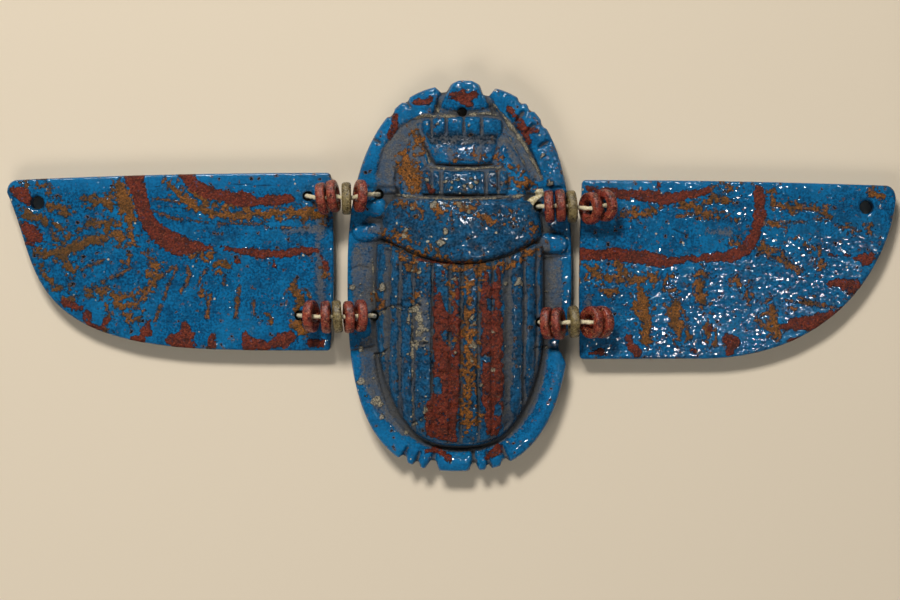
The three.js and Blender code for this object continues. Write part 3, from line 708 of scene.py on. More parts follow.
SCARAB_OCHRE = [
    [(3.3, -1, 0.7), (3.2, -5, 0.8), (2.8, -9, 0.8), (3, -14, 1), (3.1, -20, 1.1), (3, -24, 0.9),
     (2.8, -28, 0.6)],
    [(-0.6, -9.3, 0.1), (0.6, -9.7, 0.25), (1.7, -10.3, 0.15)], [(0.2, -11.6, 0.1), (1.9, -12.2, 0.2)],
    [(-3.2, -13.4, 0.1), (-1.6, -13.9, 0.2)], [(-1.4, -16.4, 0.05), (0.4, -16.8, 0.15)],
    [(0.2, -1.6, 0.2), (0.6, -3.4, 0.1)],
    [(3, -26, 0.4), (5.4, -25.3, 0.4)],
    [(-9.2, 3.2, 0.2), (-7.2, 1.8, 0.5), (-6, -0.6, 0.4)], [(-1.4, 1.8, 0.5), (3, 1.5, 0.9), (7, 1.5, 0.7)],
    [(7, 1.4, 0.5), (10.8, 2.2, 0.5), (13.4, 3.8, 0.3), (15.2, 5.2, 0.4)],
    [(-11.8, 6.8, 0.4), (-9.6, 5.2, 0.6), (-6.4, 4, 0.7), (-3.6, 4, 0.7), (-1.6, 3.4, 0.3)],
    [(-10.4, 8.8, 0.3), (-9.8, 7, 0.3)], [(-8.4, 6.4, 0.5), (-7.8, 5.8, 0.3)],
    [(-9, 12.8, 0.5), (-6.4, 12.4, 0.5), (-5.2, 11.4, 0.4)], [(-2.4, 11.6, 0.7), (-0.6, 11.3, 0.6)],
    [(1.6, 12.4, 0.5), (3.8, 12, 0.8), (5.2, 10.4, 0.5), (8, 9.6, 0.5)],
    [(14, 9.2, 0.3), (14.6, 8.8, 0.3)], [(10.8, 10.6, 0.2), (11.3, 10.5, 0.2)],
    [(-8.4, 21.8, 0.8), (-7.7, 19, 1.7), (-7.1, 16.8, 1.8), (-6.4, 15.6, 1)],
    [(-6.7, 25.6, 0.4), (-6.3, 24, 0.9), (-5.6, 21.6, 0.5)],
    [(-6.5, 23.4, 0.8), (-8.4, 22.2, 0.8)],
    [(10.6, 19, 0.3), (11.2, 16.6, 0.6), (13.6, 16.4, 0.8)], [(12.6, 18, 0.5), (13.4, 17, 0.4)],
    [(8, 21.6, 0.3), (8.3, 20.5, 0.4)], [(0.4, 21.2, 0.2), (0.9, 20.6, 0.2)],
    [(4.2, 21.5, 0.3), (5.9, 21.1, 0.3)],
    [(-6, -3.4, 0.5), (-6.2, -3.9, 0.3)], [(-4.5, -24, 0.1), (-4.3, -23.4, 0.2)],
    [(-13.5, -3.6, 0.1), (-12, -5.4, 0.1)],
]
# Grey-brown patina on the lower and worn grounds.
SCARAB_DULL = [
    [(-16.6, 4.4, 1.4), (-16.2, 0, 1.8), (-16, -5, 1.6)], [(18.3, 2, 1.6), (18.3, -5, 1.6)],
    [(-11.4, 17, 2.2), (-11.2, 22, 1.6), (-8.6, 26, 1.4)],
    [(-7.4, 16, 1.4), (-6.8, 22, 0.9), (-6.2, 25, 0.6)],
    [(9.6, 24, 0.2), (12.4, 19.4, 0.5)], [(-5.2, -4.6, 0.8), (-5.4, -8, 1.3), (-5, -11.6, 1.2)],
    [(-15.6, -12, 0.9), (-15.2, -18, 1.1), (-13.2, -23, 0.9), (-8.8, -27.8, 0.7)],
    [(15.6, -17, 0.5), (13.6, -23.4, 0.6)],
    [(-14.6, 8.2, 0.4), (-13, 8.3, 0.9)], [(16.4, 5.4, 0.8), (14.6, 4.6, 0.4)],
]
# Where the glaze is most uneven and glistens.
GLISTENING = [
    [(-4.8, 17.4, 1.2), (9.6, 17.4, 1.2)], [(-0.6, 21.8, 0.8), (7.4, 22, 1)],
    [(3.8, 27.6, 0.8), (7.4, 27.4, 0.8)],
    [(1, 34, 0.6), (5, 33.4, 0.8)], [(12.4, 29, 0.8), (18.4, 21, 1), (20.6, 12, 0.6)],
    [(-4, 13.2, 0.5), (4, 13.2, 0.5)],
    [(5.4, 2, 0.5), (14.8, 4, 0.8)], [(11.2, -3, 0.5), (11.4, -20, 0.5)],
    [(13.9, -3, 0.4), (13.9, -16, 0.4)],
    [(3.4, -8, 0.8), (3.4, -16, 0.8)], [(-16, 26, 0.5), (-9, 31, 0.5)],
]
# Deep creases of the face, cut in and painted near black as shade, and the shallower grooves with grey in
# them.
DARK_LINES = [
    [(-6.7, 17.1, 0.3), (-6.6, 17, 0.3)], [(9.9, 29.6, 0.1), (12, 26.4, 0.15), (14.2, 23.2, 0.1)],
    [(-6.1, 26.2, 0.05), (-5.2, 24, 0.2), (-3.6, 20.8, 0.25), (-2.9, 20, 0.15)],
    [(-2.9, 19.95, 0.12), (3, 19.75, 0.12), (7.6, 19.95, 0.08)],
    [(-5, 14.5, 0.05), (2, 14.3, 0.1), (9.6, 14.5, 0.05)],
    [(-9.6, 14.9, 0.15), (-10.3, 16.6, 0.2), (-9.8, 20.2, 0.05)],
    [(12, 15, 0.1), (14.6, 16.2, 0.2), (15, 17.4, 0.1)],
    [(11, 27.8, 0.1), (14.4, 22.4, 0.15), (16.4, 17.4, 0.15)],
]
GREY_LINES = [[(groove, 28.3, 0.2), (groove, 25.6, 0.1)] for groove in LOBE_GROOVES]
GREY_LINES += [[(groove, 14.8, half), (groove, 18.7, half)] for groove, half in SEGMENT_GROOVES]
GREY_LINES += [
    [(-7.4, 27.6, 0.4), (-5, 28.9, 0.35), (-2, 28.8, 0.3), (0.6, 28.8, 0.3)],
    [(3.4, 29, 0.3), (7.6, 29.2, 0.35), (9.8, 28, 0.5), (13, 23.4, 0.6), (15.8, 17.6, 0.6)],
    [(-4.6, 19.6, 0.3), (3, 19.3, 0.25), (9, 19.6, 0.3)],
    [(-10.4, 13.9, 0.35), (2, 14, 0.2), (12, 14.2, 0.4)],
    [(-9.4, 22, 0.4), (-6.8, 26.4, 0.5)], [(-4.6, 19.8, 0.3), (-5.8, 23.4, 0.2)],
]
GREY_LINES += FOOT_CUTS
# Places sprinkled with flecks of pale crust; a wider stroke holds more of them.
CRUST_FLECKS = [
    [(-6.2, -5.4, 0.4), (-4.9, -5, 0.3)],
    [(-6.1, -6, 0.7), (-5.5, -8.6, 1), (-5, -11, 0.6), (-6.4, -12.8, 0.2)],
    [(-7.2, -6.6, -0.1), (-7.3, -9.6, 0), (-7.1, -14, -0.2)], [(-4.8, -18, -0.6), (-5, -24, -0.3)],
    [(3.9, -6, -0.5), (3.8, -11, -0.1), (4, -16, -0.5)], [(-8.4, 8.6, -0.1), (-8.3, 5.4, -0.2)],
    [(-4, 15.6, -0.3), (-4.2, 18, -0.4)], [(-0.6, 16.4, -0.2), (4.6, 16.6, -0.2)],
    [(-3, 12.8, -0.3), (4, 12.2, -0.4)],
    [(-17.4, -4, -0.6), (-15, 2, -0.6)], [(17, -4, -0.6), (18.6, 1, -0.6)],
    [(9.6, -1.2, -0.3), (12, -1.4, -0.3)],
    [(-9, 1, -0.4), (-4, 0.6, -0.4), (3, -0.6, -0.4)],
    [(-13.6, -18.4, -0.4), (-16.4, -20.4, -0.4), (-13, -23, -0.2)],
]
TAN_LINES = [
    [(-9.8, 14.6, 0.2), (-5.5, 14, 0.22), (0, 13.8, 0.2), (6, 13.8, 0.2), (10.4, 14.2, 0.22),
     (13, 14.4, 0.25)],
    [(-3.6, 19.5, 0.22), (0, 19.25, 0.2), (4, 19.25, 0.2), (8.8, 19.5, 0.22)],
    [(-4.6, 22.6, 0.15), (-3.9, 20.4, 0.25)],
    [(-6.6, 28.3, 0.2), (-5, 28.8, 0.3), (-2, 28.8, 0.25), (0.6, 28.7, 0.2)],
    [(3.4, 29, 0.2), (6.4, 29.3, 0.2), (8.2, 28.9, 0.2)],
    [(7.5, 30.9, 0.15), (9.2, 29, 0.25), (10.8, 26.8, 0.35)],
    [(10.8, 26.8, 0.35), (12.6, 24.3, 0.35), (14.7, 20.6, 0.3), (16.4, 17.2, 0.25)],
    [(9.6, 26.8, 0.05), (11.4, 22.8, 0.12), (13.3, 19.8, 0.1)],
    [(-2.9, 30.6, 0.2), (-2.1, 29.1, 0.25)], [(-7, -8, 0.12), (-7, -20, 0.1), (-6.9, -25, 0.05)],
    [(-9, 3.4, 0.05), (-5, 2.1, 0.1), (0, 1.9, 0.08)], [(-0.2, -4.2, 0.02), (1.6, -7.4, 0.08)],
    [(-0.3, -7.6, 0.08), (0.8, -9.6, 0.02)], [(-14.2, 3, 0.1), (-13.9, -3, 0.1)],
]


def scarab_red(x, y):
    stripes = np.minimum(*(polygon_distance(x, y, stripe) for stripe in RED_STRIPES))
    stripes = np.maximum(stripes, 0.3 - stroke_distance(x, y, RED_GAPS))
    stripes += 0.15 + (0.5 + 0.3 * smoothstep(-8, 0, y)) * rough_noise(x, y, 1, 61)
    return np.minimum(stripes, stroke_distance(x, y, SCARAB_RED) + 0.35 * rough_noise(x, y, 1, 64))


def scarab_ochre(x, y):
    away = stroke_distance(x, y, SCARAB_OCHRE)
    away = np.where(away > 0, 0.5 * away, 0.8 * away)
    return away + 0.8 * rough_noise(x, y, 0.85, 67) + 0.9 * lattice_noise(x, y, 0.4, 68) + 0.2


def scarab_crust(x, y):
    spots = [[(sx, sy, radius), (sx + 0.01, sy, radius)] for sx, sy, radius in BLISTERS + EARTH_PITS]
    crust = stroke_distance(x, y, spots) + 0.25 * lattice_noise(x, y, 0.6, 70)
    crust = np.minimum(crust, stroke_distance(x, y, TAN_LINES) + 0.15 * lattice_noise(x, y, 0.7, 71))
    flecks = 0.6 * stroke_distance(x, y, CRUST_FLECKS) + 1.3 * rough_noise(x, y, 0.7, 72, 3) + 0.1
    beside_cracks = np.abs(stroke_distance(x, y + 0.35, CRACKS)) - 0.05 + 0.2 * lattice_noise(x, y, 0.5, 73)
    return np.minimum(np.minimum(crust, flecks), beside_cracks)


def paint_scarab(x, y, hollow):
    """The numbers that the glaze is coloured by: signed distances in millimetres, and amounts from 0 to 1."""
    cases, thorax = polygon_distance(x, y, CASES_OUTLINE), polygon_distance(x, y, THORAX_OUTLINE)
    body = smoothstep(0.3, -0.3, np.minimum(cases, thorax))
    head = smoothstep(0.4, -0.6, polygon_distance(x, y, softened(HEAD_FIELD))) * smoothstep(-0.2, 0.3, thorax)
    plate = smoothstep(0.2, -0.8, polygon_distance(x, y, FACE_PLATE))
    segments = smoothstep(0.2, -0.2, polygon_distance(x, y, SEGMENT_ROW))

    # Grey film: in hollows and grooves, on the low grounds, and in two bands across the face plate.
    streaks = 0.9 * rough_noise(x, 0.35 * y, 0.9, 75)
    grooves = smoothstep(1.6, 0.6, groove_distance(x, y) + streaks)
    grooves *= 0.85 * smoothstep(0, -0.6, np.maximum(cases, 0.3 - thorax))
    lines = smoothstep(0.3, -0.2, stroke_distance(x, y, GREY_LINES) + 0.2 * rough_noise(x, y, 0.9, 77))
    beside_cases = smoothstep(1.9, 0.6, cases) * smoothstep(0, 0.2, cases) * smoothstep(0, 0.4, thorax)
    film = np.maximum(smoothstep(0.15, 0.8, hollow), 0.9 * beside_cases)
    on_top = smoothstep(-0.35, 0.1, -hollow)
    film = np.maximum(film, head * (0.75 - 0.6 * on_top) + lines)
    low_band = plate * smoothstep(23.7, 22.9, y)
    mid_band = plate * smoothstep(22.9, 23.9, y) * smoothstep(27, 24.8, y)
    face = low_band * (0.55 + 0.3 * lattice_noise(x, y, 1.6, 78))
    face += mid_band * (0.5 + 0.2 * lattice_noise(x, y, 0.9, 79))
    dull = smoothstep(1.2, -0.6, stroke_distance(x, y, SCARAB_DULL))

    grime = 0.75 * np.maximum(np.maximum(body, segments), mid_band) + 0.25 * plate
    dark = stroke_distance(x, y, DARK_LINES + CRACKS) + 0.15 * lattice_noise(x, y, 0.8, 76)
    calm_thorax = -0.3 * smoothstep(0, -2, thorax)
    return {
        "red": scarab_red(x, y),
        "ochre": scarab_ochre(x, y),
        "crust": scarab_crust(x, y),
        "cream": polygon_distance(x, y, FLAKE),
        "patina": np.clip(np.maximum(np.maximum(film, grooves), face) + 0.8 * dull, 0, 1),
        # shade: painted shade, darkening the grey film in the wing cases' grooves and in hollows; it also
        # darkens the face plate's middle band.
        "shade": np.clip(0.8 * grooves + 0.6 * mid_band + smoothstep(0.3, 0.9, hollow), 0, 1),
        # grime: sooty on the body, the segments and the face's middle band, and darker in hollows.
        "grime": np.clip(grime + 0.5 * smoothstep(0.02, 0.5, hollow), 0, 1),
        "ridge": 0.7 * smoothstep(0.05, 0.5, -hollow) * (1 - 0.8 * head),
        "flaking": np.full(np.shape(x), 0.9),
        "brown": np.zeros(np.shape(x)),
        # Painted shade: near black along the deep creases and cracks, and in the deepest hollows.
        "crease_shade": np.clip(smoothstep(0.15, -0.2, dark) + smoothstep(1.1, 1.9, hollow), 0, 1),
        "waves": calm_thorax + 0.6 + 0.65 * smoothstep(0.5, -0.5, stroke_distance(x, y, GLISTENING)),
    }


def carved_piece(name, node, material, outline, holes, height, paint, seed, box):
    """A slab with a carved upper side; the box is the part of the plane that it lies in."""
    verts, faces, top_count = carved_slab(outline, holes, height, seed)
    x, y, z = verts.T
    attributes = paint(x, y, cavity_field(height, box)(x, y))
    behind = np.arange(len(verts)) >= top_count
    attributes["patina"] = np.where(behind, UNDERSIDE_WEAR * (z < 1), attributes["patina"])
    for colour in ("red", "ochre", "crust"):
        attributes[colour] += behind * 0.9 * np.clip(PAINT_END - z, 0, None)
    make_piece(name, node, material, verts, faces, attributes)


def make_scarab(material):
    holes = [{"at": string["scarab_hole"], **STRING_HOLE} for string in STRINGS.values()]
    holes.append(HEAD_HOLE)
    box = (-20, -37, 23, 37)
    carved_piece("scarab_body", "scarab", material, OUTLINE, holes, scarab_height, paint_scarab, 100, box)


# ---------------------------------------------------------------- the wings
LEFT_WING = {
    "tip": (-80.1, 16.9), "top": (-21.7, 18.6), "bottom": (-21.8, -13.5), "bulge_x": -21.2, "shoulder_x": -52,
    "trailing_y": 15, "bend": [(-74, 1.8), (-78.4, -12.7)], "trailing_end": (-40, -13.3),
    "hole": (-74.6, 13.2),
}
RIGHT_WING = {
    "tip": (80.1, 15.9), "top": (23.5, 17.3), "bottom": (23.1, -15), "bulge_x": 22.9, "shoulder_x": 52,
    "trailing_y": 13.6, "bend": [(79.4, 5.3), (71.4, -16)], "trailing_end": (42.5, -14.9),
    "hole": (74.8, 12.4),
}
CORNER = 0.8


def wing_outline(wing):
    tip_x, tip_y = wing["tip"]
    top_x, top_y = wing["top"]
    bottom_x, bottom_y = wing["bottom"]
    out = math.copysign(1, tip_x)
    near_tip = (tip_x - out * 1.6, tip_y + 0.4)
    trailing, trailing_end = (tip_x, wing["trailing_y"]), wing["trailing_end"]
    shoulder = (top_x + out * CORNER, top_y)
    heel = (bottom_x + out * CORNER, bottom_y)
    bulge = (2 * wing["bulge_x"] - bottom_x, 0)
    return np.vstack(
        [
            along_quadratic((top_x, top_y - CORNER), (top_x, top_y), shoulder, 6),
            along_quadratic(shoulder, (wing["shoulder_x"], top_y), near_tip, 80),
            along_quadratic(near_tip, (tip_x, tip_y), trailing, 10),
            along_bezier(trailing, *wing["bend"], trailing_end, 90),
            along_quadratic(trailing_end, ((trailing_end[0] + heel[0]) / 2, bottom_y), heel, 20),
            along_quadratic(heel, (bottom_x, bottom_y), (bottom_x, bottom_y + CORNER), 6),
            along_quadratic((bottom_x, bottom_y + CORNER), bulge, (top_x, top_y - CORNER), 30),
        ]
    )


LEFT_RED = [
    [(-57.3, 18.6, 2), (-56.5, 16.5, 1.5), (-56, 14, 1.3), (-55.5, 11.9, 1.2), (-54.1, 9, 1.4),
     (-51.7, 6.7, 1.7),
     (-48.6, 5.3, 1.6), (-45.6, 5.2, 0.8), (-43.2, 5.1, 0.3)],
    [(-41.4, 5.3, 0.25), (-39, 4.7, 0.45), (-36, 4.2, 0.6), (-33, 4, 0.8), (-30, 4.1, 0.8), (-27, 4.6, 0.5),
     (-24.4, 4.6, 0.3), (-23.2, 3.2, 0.3), (-22.5, 1.2, 0.45)],
    [(-48, 18.3, 0.9), (-46.2, 16.3, 1.1), (-43, 14.7, 1), (-39.8, 14.1, 1.1), (-36.2, 13.6, 1.2)],
    [(-34.6, 13.6, 0.7), (-32, 13.7, 0.9), (-29, 13.9, 0.7)],
    [(-78.8, 15.4, 0.7), (-77.2, 14.6, 1.3), (-76.2, 13.6, 0.9)],
    [(-76.7, 8.8, 0.9), (-75.6, 7.6, 1.5), (-74.2, 7, 0.8)], [(-76.6, 6, 0.4), (-75.4, 5.6, 0.2)],
    [(-69.6, -4.8, 0.6), (-68, -5.4, 0.7), (-66.8, -5.6, 0.3)],
    [(-65.6, -7, 0.6), (-64.8, -9.2, 0.6), (-63, -9.4, 0.5), (-61.6, -7.6, 0.4)],
    [(-54.6, -8.2, 0.5), (-54.9, -10, 1), (-56, -11.3, 0.9), (-57.6, -11.4, 0.5)],
    [(-47.9, -9.2, 0.8), (-48, -11, 1.5), (-50.4, -11.6, 0.9), (-47.2, -12.4, 1)],
    [(-43, -10.8, 0.5), (-43.2, -12.6, 0.8)],
    [(-37.2, -10.6, 0.6), (-36.6, -12.2, 1.2), (-33, -12.6, 0.7), (-30.4, -11.6, 1.4), (-29, -10.8, 1)],
    [(-25.6, -12, 0.6), (-23.4, -12, 0.7)], [(-32, 3, 0.2), (-32, 1.9, 0.3)],
    [(-38.8, 2.9, 0.3), (-38.4, 2.6, 0.3)],
]
LEFT_OCHRE = [
    [(-59.8, 17, 0.9), (-59, 14, 1.4), (-58, 11.6, 1.2), (-57.8, 8.6, 0.6), (-56.9, 5.6, 0.2)],
    [(-66, 13.6, 0.5), (-62, 13.4, 1)],
    [(-51.2, 17.2, 0.4), (-50.2, 15.6, 0.6), (-48, 13.8, 0.8), (-45.6, 12.2, 0.7), (-42, 11, 0.6),
     (-37, 10.8, 0.6)],
    [(-37, 11.6, 0.5), (-33, 11.2, 0.7), (-29, 11.6, 0.6), (-26, 11.4, 1.2), (-23.4, 10.8, 1)],
    [(-46.6, 15, 0.3), (-43, 12.8, 0.5), (-38, 12.6, 0.4)],
    [(-76.6, 16.4, 0.3), (-73.6, 16.2, 0.3), (-72.8, 15, 0.3)], [(-72.6, 12.8, 0.4), (-69.4, 12, 0.6)],
    [(-78, 11, 0.4), (-75, 10.6, 0.7), (-72, 9.8, 0.5), (-70.6, 8.4, 0.4), (-69.4, 7, 0.4)],
    [(-66.6, 8.6, 0.2), (-63, 9.6, 0.5), (-60, 9.2, 0.6)], [(-62, 8, 0.6), (-60, 7.4, 0.8), (-58, 5.6, 0.3)],
    [(-74.4, 4, 0.7), (-71, 4.4, 0.9), (-67.6, 5, 1), (-65, 6.6, 0.7), (-61.6, 7.4, 0.4)],
    [(-70.6, 3.8, 0.7), (-68.8, 1.4, 0.8)], [(-74, 2.6, 0.2), (-73, 0, 0.2), (-71, -2, 0.15)],
    [(-68.4, -3.6, 0.5), (-69.4, -4.4, 0.6)],
    [(-65.2, -2.8, 0.3), (-62.8, -2.8, 0.3), (-59.8, -4, 0.5), (-57.2, -3.6, 0.4), (-54.2, -1.4, 0.5),
     (-52.8, 0, 0.4)],
    [(-61.2, -5.6, 0.4), (-59.4, -5.4, 0.6), (-56.6, -5, 0.3), (-54, -2.8, 0.15)],
    [(-59, -7, 0.2), (-57.4, -8, 0.3), (-55.6, -7.2, 0.2)],
    [(-54.8, 4.6, 0.4), (-54, 2.6, 0.6), (-52.6, 1.4, 0.4), (-54.6, 0, 0.6)],
    [(-58, 3.4, 0.2), (-58.6, 2.4, 0.3)], [(-42, 2.2, 0.4), (-40.4, 1.6, 0.5)],
    [(-46.6, 3.4, 0.4), (-43.6, 3.6, 0.3)],
    [(-28.6, -1.4, 0.2), (-28, -3.2, 0.7), (-27, -4.6, 1), (-27.8, -6, 0.7)],
    [(-27.8, -6.6, 0.6), (-27.4, -9.6, 0.9)], [(-33, -7, 0.1), (-32.6, -8.4, 0.3)],
    [(-45, -3.4, 0.3), (-44.8, -3.2, 0.3)],
    [(-62, -9.4, 0.2), (-61.6, -6.4, 0.2)], [(-22.6, 1.6, 0.3), (-22.4, 0.6, 0.3)],
]
# Thin feather lines.
LEFT_FEATHERS = [
    [(-65.2, -2.6, 0.12), (-62, -0.6, 0.18), (-59.6, 0.4, 0.2), (-57.6, 1.5, 0.15)],
    [(-66.5, 1.2, 0.1), (-64.4, 2.2, 0.15), (-62.6, 2.9, 0.1)],
    [(-73.5, 0.6, 0.2), (-71.8, -1.6, 0.2), (-69.9, -2.2, 0.1)],
    [(-57.4, -6, 0.2), (-55.2, -3.4, 0.2), (-53.6, -1, 0.25), (-51.6, 0.6, 0.15), (-49.8, 1.5, 0.1)],
    [(-51.9, -4.4, 0.1), (-51, -1.6, 0.2), (-50, 0.2, 0.1), (-49.5, 1.6, 0.2)],
    [(-47.6, 1.6, 0.15), (-47.2, 0.2, 0.35), (-47.7, -1.4, 0.25), (-48.7, -2.8, 0.1)],
    [(-44, 1.1, 0.2), (-45.2, -0.6, 0.12), (-45.7, -1.8, 0.08)],
    [(-43.3, -3.2, 0.1), (-43.8, -5.4, 0.2), (-44, -7.4, 0.3)],
    [(-38, -1.8, 0.1), (-38.5, -4, 0.18), (-38.8, -7.2, 0.3)], [(-52.4, -5.2, 0.1), (-53.4, -8, 0.15)],
    [(-54.1, 11.8, 0.05), (-49.7, 10.3, 0.08), (-44, 9.7, 0.02)],
    [(-42, 9.5, 0.02), (-39.2, 9.4, 0.06), (-34, 9.4, 0.02)],
    [(-53.6, 14, 0.02), (-48.6, 13.3, 0.05)], [(-33, 8.6, 0.02), (-26, 8.8, 0.05)],
    [(-35.6, -4.4, 0.08), (-35.6, -7, 0.12)], [(-67.6, 8.2, 0.15), (-64.6, 9.4, 0.2), (-61, 9.8, 0.2)],
    [(-72, 8.4, 0.15), (-71.6, 6.8, 0.2), (-69.6, 5.8, 0.2)], [(-40.6, 0.6, 0.1), (-40.9, -1.6, 0.1)],
]
RIGHT_FEATHERS = [
    [(55.8, 6, 0.2), (57, 3.8, 0.2), (59.4, 2.6, 0.15), (63, 0.8, 0.12)],
    [(56.8, 5.2, 0.2), (59.6, 4.6, 0.2)],
    [(57.6, 12.8, 0.15), (61.6, 12.3, 0.2), (65.6, 12.1, 0.25), (68.4, 10.4, 0.15)],
    [(60.4, -4.4, 0.08), (63.4, -4.8, 0.12), (66.4, -5.4, 0.12)], [(53, -2, 0.12), (53.4, -4.6, 0.12)],
    [(55, -7.4, 0.12), (56.8, -9.2, 0.25), (59, -10.4, 0.2)],
    [(69.6, -6, 0.1), (66.4, -5, 0.1), (62, -3.8, 0.1)],
    [(40.6, 10.8, 0.15), (44.6, 11.4, 0.2), (49, 11.6, 0.15)],
    [(56, 9.9, 0.15), (60, 9.6, 0.1), (64, 9.8, 0.12)],
    [(60.8, 14.4, 0.15), (60.2, 12.4, 0.15)], [(46.4, 15.4, 0.2), (48.2, 13.9, 0.15), (50.4, 13.4, 0.1)],
]
RIGHT_RED = [
    [(24.8, 15.7, 0.5), (28, 15.2, 0.6), (32, 14.6, 0.8), (35.2, 14.5, 0.9), (38, 13.9, 0.95),
     (41, 14.2, 0.9),
     (44, 14.9, 0.8), (46, 15.4, 0.7)],
    [(23.6, 3.9, 0.9), (28, 3.9, 1), (32, 3.7, 1.1), (35.2, 3.2, 1.2), (38, 2.5, 1), (40, 2.6, 0.8),
     (42.4, 3, 0.4),
     (45.4, 3.2, 0.5), (47.8, 3.4, 0.8), (50.6, 3.7, 1), (53, 5, 1), (54.4, 7, 1), (55.1, 9, 1.1),
     (55.4, 11.7, 1.1),
     (55.4, 15.4, 0.8)],
    [(37.2, 16.6, 0.25), (37.6, 13, 0.5)], [(31.8, -11, 0.5), (32.4, -12.6, 0.7), (33.4, -13.8, 0.7)],
    [(42.8, -13.4, 0.4), (43.8, -13.4, 0.4)], [(49.6, -11.4, 0.8), (50.8, -12, 1.2), (49.8, -13.6, 0.7)],
    [(59.6, -9.2, 0.5), (61.4, -8.6, 1.1), (64.6, -8.4, 1.2), (67.4, -7.4, 0.9), (70, -6.4, 0.5)],
    [(68, -1.4, 0.4), (70.4, -1.4, 0.8), (73, -1.6, 0.8)], [(70.6, -2.2, 0.5), (72.4, -2.8, 0.5)],
    [(72.6, 3.4, 0.4), (74.6, 3, 1), (75.8, 3.6, 0.6)], [(68, 3.8, 0.15), (71.8, 3.7, 0.2)],
    [(24.6, -14, 0.4), (27, -13.6, 0.6)], [(46.2, -9.4, 0.3), (46.8, -9.6, 0.3)],
    [(61, -11.6, 0.3), (63, -11, 0.3)],
]
RIGHT_OCHRE = [
    [(31.4, 11.2, 0.5), (34, 11, 0.5), (37.6, 12, 0.3)],
    [(41.8, 13, 0.5), (44.6, 12.2, 0.6), (47.2, 14, 0.5), (50, 13.6, 0.4)],
    [(46.4, 15.8, 0.3), (48.4, 16.2, 0.3)], [(49.6, 15.4, 0.3), (51.8, 16, 0.4)],
    [(24, 2, 0.4), (26.4, 0.2, 0.6), (29.6, -0.8, 0.6), (33.6, -0.6, 0.7), (37, -0.4, 0.4)],
    [(29.6, 2.4, 0.5), (30.6, 0.4, 0.7), (32.2, 0.6, 0.4)], [(27, -2.6, 0.5), (28.8, -3.2, 0.5)],
    [(24.2, -0.4, 0.5), (24.6, 0.4, 0.4)],
    [(33.6, -1.4, 0.7), (34.6, -4.6, 1), (35, -8, 1), (35.4, -11.4, 0.9)],
    [(33.2, -4.8, 0.3), (33, -6, 0.3)],
    [(39.6, -3.4, 0.3), (40.2, -5.6, 1.1), (40.6, -8, 1), (41, -11, 0.5)],
    [(44.4, -1.4, 0.6), (44.9, -3.6, 0.9), (45.6, -5, 0.7)],
    [(44.8, 0.4, 0.3), (46, 0.4, 0.3)], [(39.4, -0.2, 0.2), (38.8, -1.4, 0.3)],
    [(51, -0.8, 0.4), (52.6, -1.6, 0.4)],
    [(57.2, -4.8, 0.4), (57.8, -6.6, 0.8), (58.4, -8.8, 0.8), (58.8, -10.4, 0.6)],
    [(55.4, -8, 0.2), (57.6, -10, 0.3)],
    [(57.4, 15, 0.3), (58.2, 13.2, 0.5), (60.2, 12.4, 0.35), (64, 12.4, 0.35), (66.6, 12, 0.3),
     (68.2, 10.6, 0.4)],
    [(66.4, 9.6, 0.2), (67.6, 10, 0.4)], [(71, 8.8, 0.3), (72.8, 8.6, 0.4)],
    [(75.8, 15, 0.3), (76.8, 14.6, 0.5)],
    [(63, 6.2, 0.4), (65.2, 4.8, 0.6)], [(65.8, 3.4, 0.3), (66.4, 2, 0.4)],
    [(56, 5.4, 0.4), (57.4, 3.4, 0.25), (60, 2.2, 0.2), (63, 0.6, 0.15)], [(58, 4.8, 0.3), (59.6, 4.4, 0.2)],
    [(59.8, -6, 0.1), (63, -5, 0.15), (66, -5.4, 0.15)], [(53, -2, 0.15), (53.4, -4.6, 0.15)],
    [(46, -9.4, 0.5), (47, -12, 0.5)], [(42.4, -12.4, 0.2), (42.2, -10, 0.2)],
    [(50, 6.4, 0.2), (51.6, 5.6, 0.2)],
    [(57.6, 9.6, 0.4), (59.4, 9, 0.3)], [(43, 11.4, 0.2), (52, 10, 0.15)],
    [(74.6, 9, 0.3), (75.2, 8.8, 0.3)],
]


# Everything placed on each wing: its outline and, as strokes, its colours, grey wear, the places where the
# glaze is smoother and more uneven than elsewhere, and scratches.
WINGS = {
    "left": {
        "outline": LEFT_WING, "seed": 200,
        "red": LEFT_RED, "ochre": LEFT_OCHRE, "feathers": LEFT_FEATHERS,
        "grey": [
            [(-23, 12, 1.4), (-24, 6, 0.6), (-23.6, -2, 1), (-23, -8, 1)], [(-30, 8, 0.4), (-24, 8.6, 1)],
        ],
        "calm": [[(-60, 0, 4), (-40, -4, 4)]],
        "lively": [[(-72, 4, 1), (-68, 0, 1)], [(-52, 9, 2), (-28, 8, 2)]],
        "scratches": [[(-52, 12.6, 0.03), (-46, 11.9, 0.03)], [(-40, 16.6, 0.03), (-31, 16.2, 0.03)]],
    },
    "right": {
        "outline": RIGHT_WING, "seed": 300,
        "red": RIGHT_RED, "ochre": RIGHT_OCHRE, "feathers": RIGHT_FEATHERS,
        "grey": [[(24.6, -4, 0.6), (24.4, -10, 0.8)], [(50, 8, 0.8), (46, 8, 0.4)]],
        "calm": [
            [(60, 12, 4), (78, 12, 4)], [(24.5, 8, 2), (24.5, -12, 2)], [(28, 8.6, 2.6), (50, 8.4, 3.4)],
        ],
        "lively": [[(34, -5, 4), (56, -4, 5)], [(62, 2, 2), (74, 4, 3)]],
        "scratches": [[(39.9, 8.5, 0.12), (42.5, 7.3, 0.1)]],
    },
}


